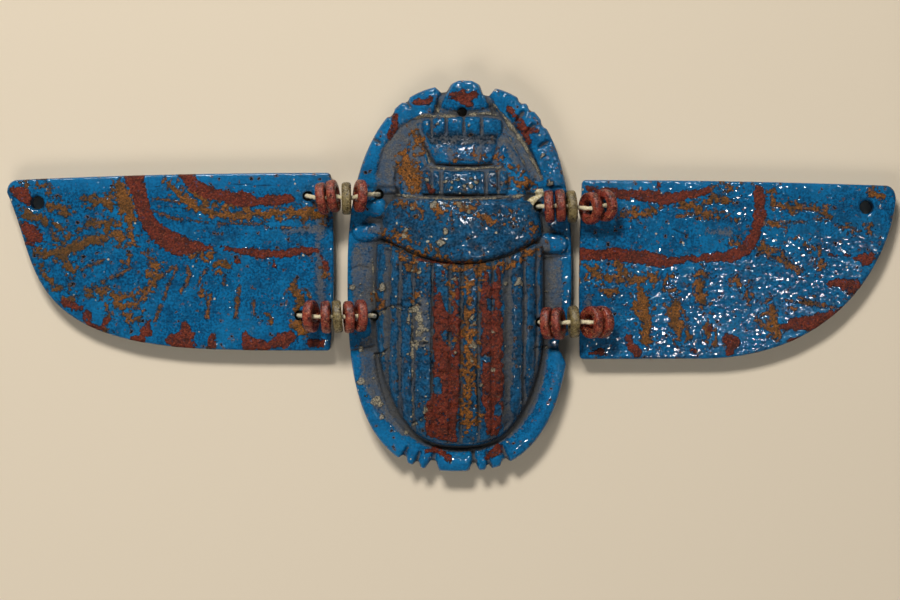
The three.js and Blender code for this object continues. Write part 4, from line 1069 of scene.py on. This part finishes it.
def make_wing(side, material):
    wing = WINGS[side]
    seed = wing["seed"]
    outline = wing_outline(wing["outline"])
    box = (*(outline.min(0) - 1), *(outline.max(0) + 1))
    pinholes = scattered(seed, 300, box, (0.1, 0.24))

    def red(x, y):
        ragged = 0.35 * rough_noise(x, y, 1.3, seed + 30) + 0.35 * rough_noise(x, y, 0.5, seed + 31, 2)
        return stroke_distance(x, y, wing["red"]) + ragged

    def ochre(x, y):
        away = stroke_distance(x, y, wing["ochre"])
        away = np.where(away > 0, 0.55 * away, away)
        away += 0.8 * rough_noise(x, y, 0.85, seed + 33) + 0.6 * lattice_noise(x, y, 0.35, seed + 36) + 0.05
        lines = stroke_distance(x, y, wing["feathers"]) + 0.3 * rough_noise(x, y, 0.8, seed + 37)
        return np.minimum(away, lines)

    def height(x, y):
        surface = WING_THICKNESS - 0.14 + 0.06 * lattice_noise(x, y, 9, seed + 1)
        crust = smoothstep(0.2, -0.2, ochre(x, y))
        paint = smoothstep(0.15, -0.15, red(x, y))
        lumps = 0.09 + 0.11 * rough_noise(x, y, 0.55, seed + 9, 2)
        surface += np.maximum(crust * lumps, 0.06 * paint)
        surface -= bumps(x, y, pinholes, 0.7)
        surface -= 0.12 * smoothstep(0.12, -0.1, stroke_distance(x, y, wing["scratches"]))
        surface += 0.012 * lattice_noise(0.75 * x, 1.2 * y, 0.9, seed + 20)
        return surface + 0.02 * rough_noise(x, y, 2.2, seed + 2) + 0.012 * rough_noise(x, y, 0.6, seed + 5, 2)

    def paint(x, y, hollow):
        film = smoothstep(1.6, -1.6, stroke_distance(x, y, wing["grey"])) + smoothstep(0.05, 0.3, hollow)
        lively = smoothstep(4, -4, stroke_distance(x, y, wing["lively"]))
        calm = smoothstep(2, -2, stroke_distance(x, y, wing["calm"]))
        return {
            "red": red(x, y),
            "ochre": ochre(x, y),
            "crust": np.full(np.shape(x), FAR),
            "cream": np.full(np.shape(x), FAR),
            "patina": np.clip(film, 0, 1),
            "shade": np.zeros(np.shape(x)),
            "grime": 0.3 + 0.2 * lattice_noise(x, y, 7, seed + 12),
            # ridge: paler on raised parts, and a painted sheen in the band along the wing's upper edge.
            "ridge": np.maximum(smoothstep(0.02, 0.3, -hollow), smoothstep(14, 17.5, y)),
            "flaking": np.full(np.shape(x), 0.25),
            "brown": 0.2 + 0.35 * smoothstep(-56, -66, x),
            # The scratches take the same near-black painted shade as the scarab's creases.
            "crease_shade": smoothstep(0.1, -0.05, stroke_distance(x, y, wing["scratches"])),
            "waves": 0.85 + 0.3 * lively - 0.6 * calm,
        }

    strings = [string for key, string in STRINGS.items() if key.endswith(side)]
    holes = [{"at": string["wing_hole"], **STRING_HOLE} for string in strings]
    holes.append({"at": wing["outline"]["hole"], "radius": TIP_HOLE_RADIUS})
    carved_piece(f"wing_{side}_slab", f"wing_{side}", material, outline, holes, height, paint, seed, box)


# ---------------------------------------------------------------- beads and threads
def bead_middle(x, y, tilt, lift):
    """The middle of a bead that stands on the wings' upper side, tilted and lifted off it."""
    angle = math.radians(abs(tilt))
    reach = BEAD["outer"] * math.cos(angle) + BEAD["thickness"] / 2 * math.sin(angle)
    return Vector((x, y, WING_THICKNESS + BEAD_GAP + lift + reach))


def squared(share, power=0.62):
    """A sine or cosine moved towards its ends, which makes a circle squarer."""
    return np.sign(share) * np.abs(share) ** power


def make_bead(key, number, place, seed, material):
    """A ring bead with rounded rims, a slightly uneven outline and a few chips."""
    x, y, turn, tilt, lift = place
    rng = np.random.default_rng(seed)
    around, across = 72, 22
    angle = np.linspace(0, 2 * math.pi, around, endpoint=False)[:, None]
    section = np.linspace(0, 2 * math.pi, across, endpoint=False)[None, :]
    middle, half_width = (BEAD["outer"] + BEAD["bore"]) / 2, (BEAD["outer"] - BEAD["bore"]) / 2
    out = squared(np.cos(section)) * half_width
    side = squared(np.sin(section)) * BEAD["thickness"] / 2
    wobble = 1 + 0.012 * np.sin(angle * 2 + rng.uniform(0, 6)) + 0.01 * np.sin(angle * 3 + rng.uniform(0, 6))
    grain = rough_noise(angle * 2.6 + seed * 9, section * 1.2, 0.9, seed)
    radius = (middle + out * (0.985 + 0.02 * grain)) * np.minimum(wobble, 1)
    along = side * (0.97 + 0.03 * rough_noise(angle * 2.6, section, 1.3, seed + 3))
    for _ in range(3):
        at, where = rng.uniform(0, 6.28), rng.choice([0.8, 2.3, 5.5])
        radius -= 0.14 * np.exp(-(((angle - at) / 0.12) ** 2) - ((section - where) / 0.4) ** 2)
    verts = np.stack([along, radius * np.cos(angle), radius * np.sin(angle)], 2).reshape(-1, 3)
    turned = Euler((0, math.radians(tilt), math.radians(turn)), "XYZ").to_matrix()
    verts = verts @ np.array(turned).T + np.array(bead_middle(x, y, tilt, lift))
    faces = grid_faces(around, across, closed=True)
    make_piece(f"ring_{key}_{number}", f"bead_{key}_{number}", material, verts, faces)


def smooth_route(points, per_leg):
    """Points along a curve through the given ones."""
    p = np.array([points[0], *points, points[-1]], float)
    route = []
    for a, b, c, d in zip(p, p[1:], p[2:], p[3:]):
        for t in np.linspace(0, 1, per_leg, endpoint=False):
            square, cube = (2 * a - 5 * b + 4 * c - d) * t**2, (3 * b - a - 3 * c + d) * t**3
            route.append(0.5 * (2 * b + (c - a) * t + square + cube))
    return np.array([*route, p[-1]])


def wrapped_knot(at, seed):
    """A small lump with the ridges of a thread wound round it."""
    around, levels = 40, 22
    half_height = KNOT["height"] / 2
    polar = (math.pi * np.arange(1, levels) / levels)[:, None]
    angle = np.linspace(0, 2 * math.pi, around, endpoint=False)[None, :]
    ridge = 0.07 * np.cos(3 * angle + 9 * polar) + 0.03 * np.cos(7 * angle - 5 * polar + seed)
    radius = KNOT["radius"] * (0.9 + ridge) * np.sin(polar) ** 0.7
    level = KNOT["z"] - half_height * np.cos(polar) * (1 + 0.5 * ridge)
    body = np.stack([at[0] + radius * np.cos(angle), at[1] + radius * np.sin(angle), level], 2).reshape(-1, 3)
    verts = np.vstack([body, [(*at, KNOT["z"] - half_height), (*at, KNOT["z"] + half_height)]])
    last = len(body) - around
    faces = grid_faces(levels - 1, around, closed=False)
    for j in range(around):
        k = (j + 1) % around
        faces += [[len(body), k, j], [last + j, last + k, len(body) + 1]]
    return verts, faces


def make_thread(key, string, seed, material):
    """Two twisted plies of linen along the string's route, with a wrapped knot behind each hole."""
    wing, scarab = string["wing_hole"], string["scarab_hole"]
    slack = Vector((0, 0, 0.1))
    beads = [tuple(bead_middle(x, y, tilt, lift) + slack) for x, y, _, tilt, lift in string["beads"]]
    up = [(*wing, KNOT["z"]), (*wing, WING_THICKNESS - 0.2)]
    down = [string["bend"], (*scarab, PLATE_TOP - 0.4), (*scarab, KNOT["z"])]
    route = smooth_route([*up, *beads, *down], 14)
    tangent = np.gradient(route, axis=0)
    tangent /= np.linalg.norm(tangent, axis=1)[:, None]
    sideways = np.cross(tangent, (0, 1, 0))
    sideways /= np.linalg.norm(sideways, axis=1)[:, None]
    upward = np.cross(sideways, tangent)
    run = np.concatenate([[0], np.cumsum(np.linalg.norm(np.diff(route, axis=0), axis=1))])[:, None]
    around = 20
    angle = np.linspace(0, 2 * math.pi, around, endpoint=False)[None, :]
    plies = np.abs(np.cos(angle - run * 2 * math.pi / TWIST_LENGTH))
    fibre = 0.03 * rough_noise(run, angle * 0.4, 0.35, seed)
    radius = THREAD_RADIUS * (0.72 + 0.26 * plies + fibre)
    ring = np.cos(angle)[:, :, None] * sideways[:, None, :] + np.sin(angle)[:, :, None] * upward[:, None, :]
    verts = (route[:, None, :] + radius[:, :, None] * ring).reshape(-1, 3)
    last = len(verts) - around
    faces = grid_faces(len(route), around, closed=False)
    faces += [list(range(around))[::-1], list(range(last, last + around))]
    for end in (wing, scarab):
        lump, lump_faces = wrapped_knot(end, seed)
        faces += [[len(verts) + k for k in face] for face in lump_faces]
        verts = np.vstack([verts, lump])
    make_piece(f"linen_{key}", f"thread_{key}", material, verts, faces)


# ---------------------------------------------------------------- materials
# Colours are sRGB, 0 to 255, until they go into a shader.
GLAZE = {
    "deep_blue": (5, 58, 92), "bright_blue": (9, 101, 150), "clouded_blue": (5, 60, 96),
    "pale_blue": (24, 122, 172), "ridge_and_sheen_blue": (26, 116, 170), "grain_blue": (40, 104, 130),
    "soot_dark": (12, 22, 28), "soot_light": (46, 52, 52),
    # The crease colour is the near black of painted shade in creases, cracks and deep hollows.
    "rust": (120, 84, 40), "speck": (12, 18, 24), "grit": (196, 182, 150), "crease_shade": (18, 16, 15),
    "film_dark": (66, 71, 78), "film_light": (96, 94, 90),
    # The film's brown is where the film is darkened as painted shade.
    "film_blue": (46, 76, 104), "film_brown_and_shade": (56, 54, 50),
    "earth_dark": (50, 36, 20), "earth_light": (128, 76, 22), "earth_grain": (176, 108, 42),
    "earth_stain": (60, 44, 22), "earth_brown": (72, 56, 32),
    "brick_dark": (72, 25, 16), "brick_light": (118, 45, 27), "brick_grain": (158, 78, 44),
    "brick_stain": (60, 26, 18), "brick_pit": (26, 16, 16),
    "crust_dark": (92, 84, 68), "crust_light": (168, 156, 128),
    "cream_dark": (188, 170, 124), "cream_light": (238, 226, 190),
}
RED_BEAD = [(134, 54, 40), (72, 26, 22), (214, 138, 84)]  # base, dark patches, light grain
OLIVE_BEAD = [(118, 102, 64), (74, 60, 36), (180, 160, 108)]
LINEN = {"dark": (206, 186, 138), "light": (244, 232, 198), "stain": (150, 130, 96)}
FLOOR_COLOUR = (224, 208, 183)


def linear(red, green, blue):
    """An sRGB colour, 0 to 255, as the linear colour that shaders use."""
    shares = [c / 255 / 12.92 if c < 11 else ((c / 255 + 0.055) / 1.055) ** 2.4 for c in (red, green, blue)]
    return (*shares, 1)


class Shader:
    """Builds one material's nodes. Colours are sRGB triples or the outputs of other nodes."""

    def __init__(self, name):
        self.material = bpy.data.materials.new(name)
        self.material.use_nodes = True
        self.tree = self.material.node_tree
        self.surface = self.tree.nodes["Principled BSDF"]
        self.place = self.node("ShaderNodeTexCoord").outputs["Object"]

    def node(self, kind, **settings):
        made = self.tree.nodes.new(kind)
        for key, value in settings.items():
            setattr(made, key, value)
        return made

    def put(self, socket, value):
        if isinstance(value, bpy.types.NodeSocket):
            self.tree.links.new(value, socket)
        else:
            socket.default_value = value

    def shade(self, **inputs):
        """Sets the surface's inputs, named with underscores for spaces."""
        for key, value in inputs.items():
            self.put(self.surface.inputs[key.replace("_", " ")], value)

    def number(self, name):
        return self.node("ShaderNodeAttribute", attribute_name=name).outputs["Fac"]

    def texture(self, kind, size, offset, stretch=(1, 1, 1)):
        """A texture node over moved and stretched places, with features about size millimetres wide."""
        move = self.node("ShaderNodeMapping")
        self.put(move.inputs["Vector"], self.place)
        move.inputs["Location"].default_value = offset
        move.inputs["Scale"].default_value = stretch
        made = self.node(kind)
        self.put(made.inputs["Vector"], move.outputs[0])
        made.inputs["Scale"].default_value = 1 / (size * MM)
        return made

    def noise(self, size, detail=3, rough=0.55, offset=0.0, stretch=(1, 1, 1)):
        """Noise from 0 to 1 that changes over about size millimetres."""
        made = self.texture("ShaderNodeTexNoise", size, (offset, offset * 0.7, offset * 0.3), stretch)
        made.inputs["Detail"].default_value = detail
        made.inputs["Roughness"].default_value = rough
        return made.outputs["Fac"]

    def cells(self, size, offset=0.0):
        """Distance to the nearest of many scattered points, in cell widths."""
        return self.texture("ShaderNodeTexVoronoi", size, (offset, offset, offset)).outputs["Distance"]

    def math(self, operation, a, b=0.0):
        made = self.node("ShaderNodeMath", operation=operation)
        self.put(made.inputs[0], a)
        self.put(made.inputs[1], b)
        return made.outputs[0]

    def times(self, a, b):
        return self.math("MULTIPLY", a, b)

    def above(self, value, middle=0.5):
        """How far a value lies above a middle one, below zero under it."""
        return self.math("SUBTRACT", value, middle)

    def plus(self, value, *terms):
        """A value with others added, each as (value, strength)."""
        for term, strength in terms:
            value = self.math("ADD", value, term if strength == 1 else self.times(term, strength))
        return value

    def highest(self, value, *others):
        for other in others:
            value = self.math("MAXIMUM", value, other)
        return value

    def between(self, value, low, high, to_low=0.0, to_high=1.0):
        made = self.node("ShaderNodeMapRange", interpolation_type="SMOOTHSTEP")
        for socket, number in zip(made.inputs, (value, low, high, to_low, to_high)):
            self.put(socket, number)
        return made.outputs[0]

    def mix(self, share, a, b):
        made = self.node("ShaderNodeMix", data_type="RGBA")
        self.put(made.inputs[0], share)
        for socket, colour in ((made.inputs[6], a), (made.inputs[7], b)):
            self.put(socket, linear(*colour) if isinstance(colour, tuple) else colour)
        return made.outputs[2]

    def layer(self, colour, share, strength, over):
        """A colour with part of another one over it."""
        return self.mix(self.times(share, strength), colour, over)

    def bump(self, height, depth, normal=None):
        """A bump whose full height is depth millimetres."""
        made = self.node("ShaderNodeBump")
        made.inputs["Distance"].default_value = depth * MM
        self.put(made.inputs["Height"], height)
        if normal:
            self.put(made.inputs["Normal"], normal)
        return made.outputs[0]


class Glaze(Shader):
    """Blue glaze, with painted red, worn ochre, grey film, tan crust and a cream flake by attributes."""

    def __init__(self):
        super().__init__("blue_faience_glaze")
        self.ragged = self.above(self.noise(1.1, 4, 0.6))
        self.torn = self.above(self.noise(0.75, 5, 0.7, 3.1))
        self.fine = self.noise(0.42, 3, 0.6, 5.7)
        self.grain = self.noise(0.24, 2, 0.6, 7.9)
        self.broad = self.noise(7, 3, 0.55, 1.3)
        self.mottled = self.noise(1.6, 4, 0.62, 2.2)
        self.grimy = self.plus(self.number("grime"), (self.above(self.mottled), 1))
        unevenness = [(self.above(self.mottled, 0.56), -1.3), (self.above(self.grain), 0.9)]
        self.pitted = self.plus(self.cells(1.3, 4.4), *unevenness)
        self.specks = self.between(self.pitted, 0.14, 0.08)

    def blue(self):
        """The blue ground, with clouds, paler ridges and a painted sheen along the wings' upper edge, soot,
        pits rimmed with rust, and pale grit that also paints small glints.
        """
        blue = self.mix(self.between(self.fine, 0.36, 0.6), GLAZE["deep_blue"], GLAZE["bright_blue"])
        blue = self.layer(blue, self.between(self.mottled, 0.42, 0.66), 0.7, GLAZE["clouded_blue"])
        blue = self.layer(blue, self.between(self.broad, 0.45, 0.7), 0.35, GLAZE["pale_blue"])
        # Paler on raised parts, and a painted sheen along the wings' upper edge.
        blue = self.layer(blue, self.number("ridge"), 0.45, GLAZE["ridge_and_sheen_blue"])
        blue = self.layer(blue, self.between(self.grain, 0.54, 0.68), 0.5, GLAZE["grain_blue"])
        soot = self.mix(self.between(self.fine, 0.42, 0.6), GLAZE["soot_dark"], GLAZE["soot_light"])
        blue = self.layer(blue, self.between(self.grimy, 0.25, 1.1), 0.9, soot)
        blue = self.layer(blue, self.between(self.pitted, 0.24, 0.16), 0.75, GLAZE["rust"])
        blue = self.mix(self.specks, blue, GLAZE["speck"])
        # Pale grit dots, which also stand in for small glints as painted highlights.
        grit = self.between(self.plus(self.cells(1.9, 8.1), (self.ragged, 0.5)), 0.08, 0.04)
        return self.layer(blue, grit, 0.8, GLAZE["grit"])

    def film_share(self):
        film = self.plus(self.number("patina"), (self.above(self.fine), 1.3), (self.ragged, 0.9))
        return self.between(film, 0.42, 0.85)

    def film(self):
        dull = self.mix(self.between(self.grain, 0.4, 0.62), GLAZE["film_dark"], GLAZE["film_light"])
        dull = self.layer(dull, self.between(self.mottled, 0.42, 0.62), 0.6, GLAZE["film_blue"])
        # Painted shade: the shade attribute darkens the film towards brown in grooves and hollows.
        return self.layer(dull, self.number("shade"), 0.7, GLAZE["film_brown_and_shade"])

    def ochre_share(self):
        ochre = self.plus(self.number("ochre"), (self.torn, 1.5), (self.above(self.grain), 1.2))
        return self.between(ochre, 0.24, -0.16)

    def ochre(self):
        earth = self.mix(self.between(self.fine, 0.36, 0.56), GLAZE["earth_dark"], GLAZE["earth_light"])
        earth = self.mix(self.between(self.grain, 0.5, 0.64), earth, GLAZE["earth_grain"])
        earth = self.layer(earth, self.between(self.mottled, 0.48, 0.62), 0.6, GLAZE["earth_stain"])
        return self.mix(self.number("brown"), earth, GLAZE["earth_brown"])

    def red_share(self):
        red = self.plus(self.number("red"), (self.ragged, 0.7), (self.above(self.fine), 1))
        flaked = self.between(self.noise(0.75, 3, 0.65, 11.3), 0.6, 0.65)
        gone = self.times(flaked, self.number("flaking"))
        return self.highest(self.math("SUBTRACT", self.between(red, 0.1, -0.06), gone), 0)

    def red(self):
        brick = self.mix(self.between(self.fine, 0.36, 0.6), GLAZE["brick_dark"], GLAZE["brick_light"])
        brick = self.layer(brick, self.between(self.mottled, 0.45, 0.62), 0.7, GLAZE["brick_stain"])
        brick = self.layer(brick, self.between(self.grain, 0.56, 0.68), 0.8, GLAZE["brick_grain"])
        return self.layer(brick, self.between(self.torn, -0.1, -0.2), 0.85, GLAZE["brick_pit"])

    def crust_share(self):
        crust = self.plus(self.number("crust"), (self.ragged, 0.9), (self.above(self.fine), 0.6))
        return self.between(crust, 0.06, -0.12)

    def cream_share(self):
        return self.between(self.plus(self.number("cream"), (self.ragged, 0.9)), 0.04, -0.04)


def glaze_material():
    """Each colour in turn over the blue, then how matt it is, and the waves and layers of its surface."""
    s = Glaze()
    coat, ochre, red = s.film_share(), s.ochre_share(), s.red_share()
    crust, cream = s.crust_share(), s.cream_share()
    colour = s.mix(coat, s.blue(), s.film())
    # Painted shade: near black in the creases, cracks and deepest hollows.
    colour = s.layer(colour, s.number("crease_shade"), 0.8, GLAZE["crease_shade"])
    colour = s.mix(ochre, colour, s.ochre())
    colour = s.mix(red, colour, s.red())
    tan = s.mix(s.between(s.grain, 0.38, 0.62), GLAZE["crust_dark"], GLAZE["crust_light"])
    colour = s.layer(colour, crust, 0.85, tan)
    flake = s.mix(s.between(s.fine, 0.4, 0.6), GLAZE["cream_dark"], GLAZE["cream_light"])
    colour = s.mix(cream, colour, flake)

    matt = s.highest(s.between(coat, 0.05, 0.4, 0, 0.8), s.between(ochre, 0.05, 0.4, 0, 0.9))
    matt = s.highest(matt, s.times(red, 0.9), s.between(s.grimy, 0.5, 1.1, 0, 0.15), crust, cream)

    paint = s.highest(ochre, red)
    waves = s.times(s.noise(0.85, 0.5, 0.5, 9.3, (0.8, 1.2, 1)), s.number("waves"))
    normal = s.bump(waves, 0.155)
    normal = s.bump(s.math("SUBTRACT", 1, s.specks), 0.05, normal)
    normal = s.bump(s.times(s.fine, matt), 0.25, normal)
    normal = s.bump(s.plus(crust, (paint, 0.7)), 0.22, normal)
    normal = s.bump(s.times(s.torn, paint), 0.42, normal)
    s.shade(Base_Color=colour, Roughness=s.between(matt, 0, 1, 0.065, 0.85), Normal=normal)
    s.shade(IOR=1.5, Specular_IOR_Level=0.4)
    return s.material


def bead_material(name, colours, offset):
    base, dark, light = colours
    s = Shader(name)
    fine = s.noise(0.3, 3, 0.7, offset)
    patches = s.noise(1.1, 3, 0.6, offset + 2)
    colour = s.mix(s.between(patches, 0.42, 0.64), base, dark)
    colour = s.layer(colour, s.between(fine, 0.55, 0.68), 0.85, light)
    pits = s.between(s.plus(s.cells(0.7, offset), (s.above(fine), 1)), 0.24, 0.1)
    colour = s.layer(colour, pits, 0.8, tuple(c * 0.3 for c in dark))
    normal = s.bump(s.math("SUBTRACT", 1, pits), 0.06, s.bump(fine, 0.12))
    s.shade(Base_Color=colour, Roughness=s.between(fine, 0.3, 0.7, 0.16, 0.4), Normal=normal)
    return s.material


def linen_material():
    s = Shader("linen_thread")
    fibre = s.noise(0.22, 4, 0.7, 6.1)
    stain = s.noise(2.4, 2, 0.5, 4.2)
    colour = s.mix(s.between(fibre, 0.35, 0.7), LINEN["dark"], LINEN["light"])
    colour = s.layer(colour, s.between(stain, 0.5, 0.75), 0.5, LINEN["stain"])
    s.shade(Base_Color=colour, Roughness=0.85, Sheen_Weight=0.25, Normal=s.bump(fibre, 0.06))
    return s.material


def floor_material():
    s = Shader("pale_floor")
    s.shade(Base_Color=linear(*FLOOR_COLOUR), Roughness=0.95, Specular_IOR_Level=0.1)
    return s.material


# ---------------------------------------------------------------- camera, floor and light
# Name, place, size and power. A glint light is seen only in the gloss, the others only in the colours.
LIGHTS = [
    ("key", (-130, 380, 560), (180, 110), 3.9),
    ("fill", (-200, -420, 520), (400, 300), 1.4),
    ("right_glint", (124, -104, 640), (38, 16), 0.5),
    ("side_glint", (420, 260, 420), (40, 32), 0.35),
    ("front_glint", (40, 330, 580), (60, 50), 0.9),
    ("edge_glint", (-60, 560, 330), (240, 100), 2.6),
]
WORLD_LIGHT = 0.08
FLOOR_HALF = 2  # metres


def make_camera():
    """A camera that looks straight down."""
    camera = bpy.data.objects.new("camera", bpy.data.cameras.new("camera"))
    bpy.context.scene.collection.objects.link(camera)
    camera.data.sensor_width = 36
    camera.data.lens = 36 * (CAMERA_HEIGHT - WING_THICKNESS) / VIEW_WIDTH
    camera.location = Vector((*CAMERA_PLACE, CAMERA_HEIGHT)) * MM
    camera.rotation_euler = (0, 0, 0)
    bpy.context.scene.camera = camera


def area_light(name, place, size, power):
    """A soft light aimed at the middle of the piece."""
    data = bpy.data.lights.new(name, "AREA")
    data.shape = "RECTANGLE"
    data.size, data.size_y = size[0] * MM, size[1] * MM
    data.energy = power
    lamp = bpy.data.objects.new(name, data)
    lamp.visible_glossy = name.endswith("glint")
    lamp.visible_diffuse = not lamp.visible_glossy
    lamp.location = Vector(place) * MM
    lamp.rotation_mode = "QUATERNION"
    lamp.rotation_quaternion = (-lamp.location).to_track_quat("-Z", "Y")
    bpy.context.scene.collection.objects.link(lamp)


def make_stage():
    """The floor, the lights and a faint even light from all round."""
    mesh = bpy.data.meshes.new("floor")
    corners = [(FLOOR_HALF * x, FLOOR_HALF * y, 0) for x, y in ((-1, -1), (1, -1), (1, 1), (-1, 1))]
    mesh.from_pydata(corners, [], [(0, 1, 2, 3)])
    mesh.materials.append(floor_material())
    floor = bpy.data.objects.new("floor", mesh)
    bpy.context.scene.collection.objects.link(floor)

    for light in LIGHTS:
        area_light(*light)
    world = bpy.data.worlds.new("studio")
    world.use_nodes = True
    world.node_tree.nodes["Background"].inputs["Color"].default_value = (1, 1, 1, 1)
    world.node_tree.nodes["Background"].inputs["Strength"].default_value = WORLD_LIGHT
    bpy.context.scene.world = world
    bpy.context.scene.view_settings.view_transform = "Standard"


# ---------------------------------------------------------------- putting it together
make_camera()
glaze = glaze_material()
red_bead = ("red_glaze", bead_material("red_bead_glaze", RED_BEAD, 1.7))
olive_bead = ("olive_glaze", bead_material("olive_bead_glaze", OLIVE_BEAD, 4.9))
linen = linen_material()

make_scarab(glaze)
make_wing("left", glaze)
make_wing("right", glaze)
for order, (key, string) in enumerate(STRINGS.items()):
    for number, place in enumerate(string["beads"], start=1):
        slot, material = olive_bead if number == OLIVE_NUMBER else red_bead
        make_bead(key, number, place, 500 + 10 * order + number, material)
    make_thread(key, string, 700 + order, linen)
make_stage()
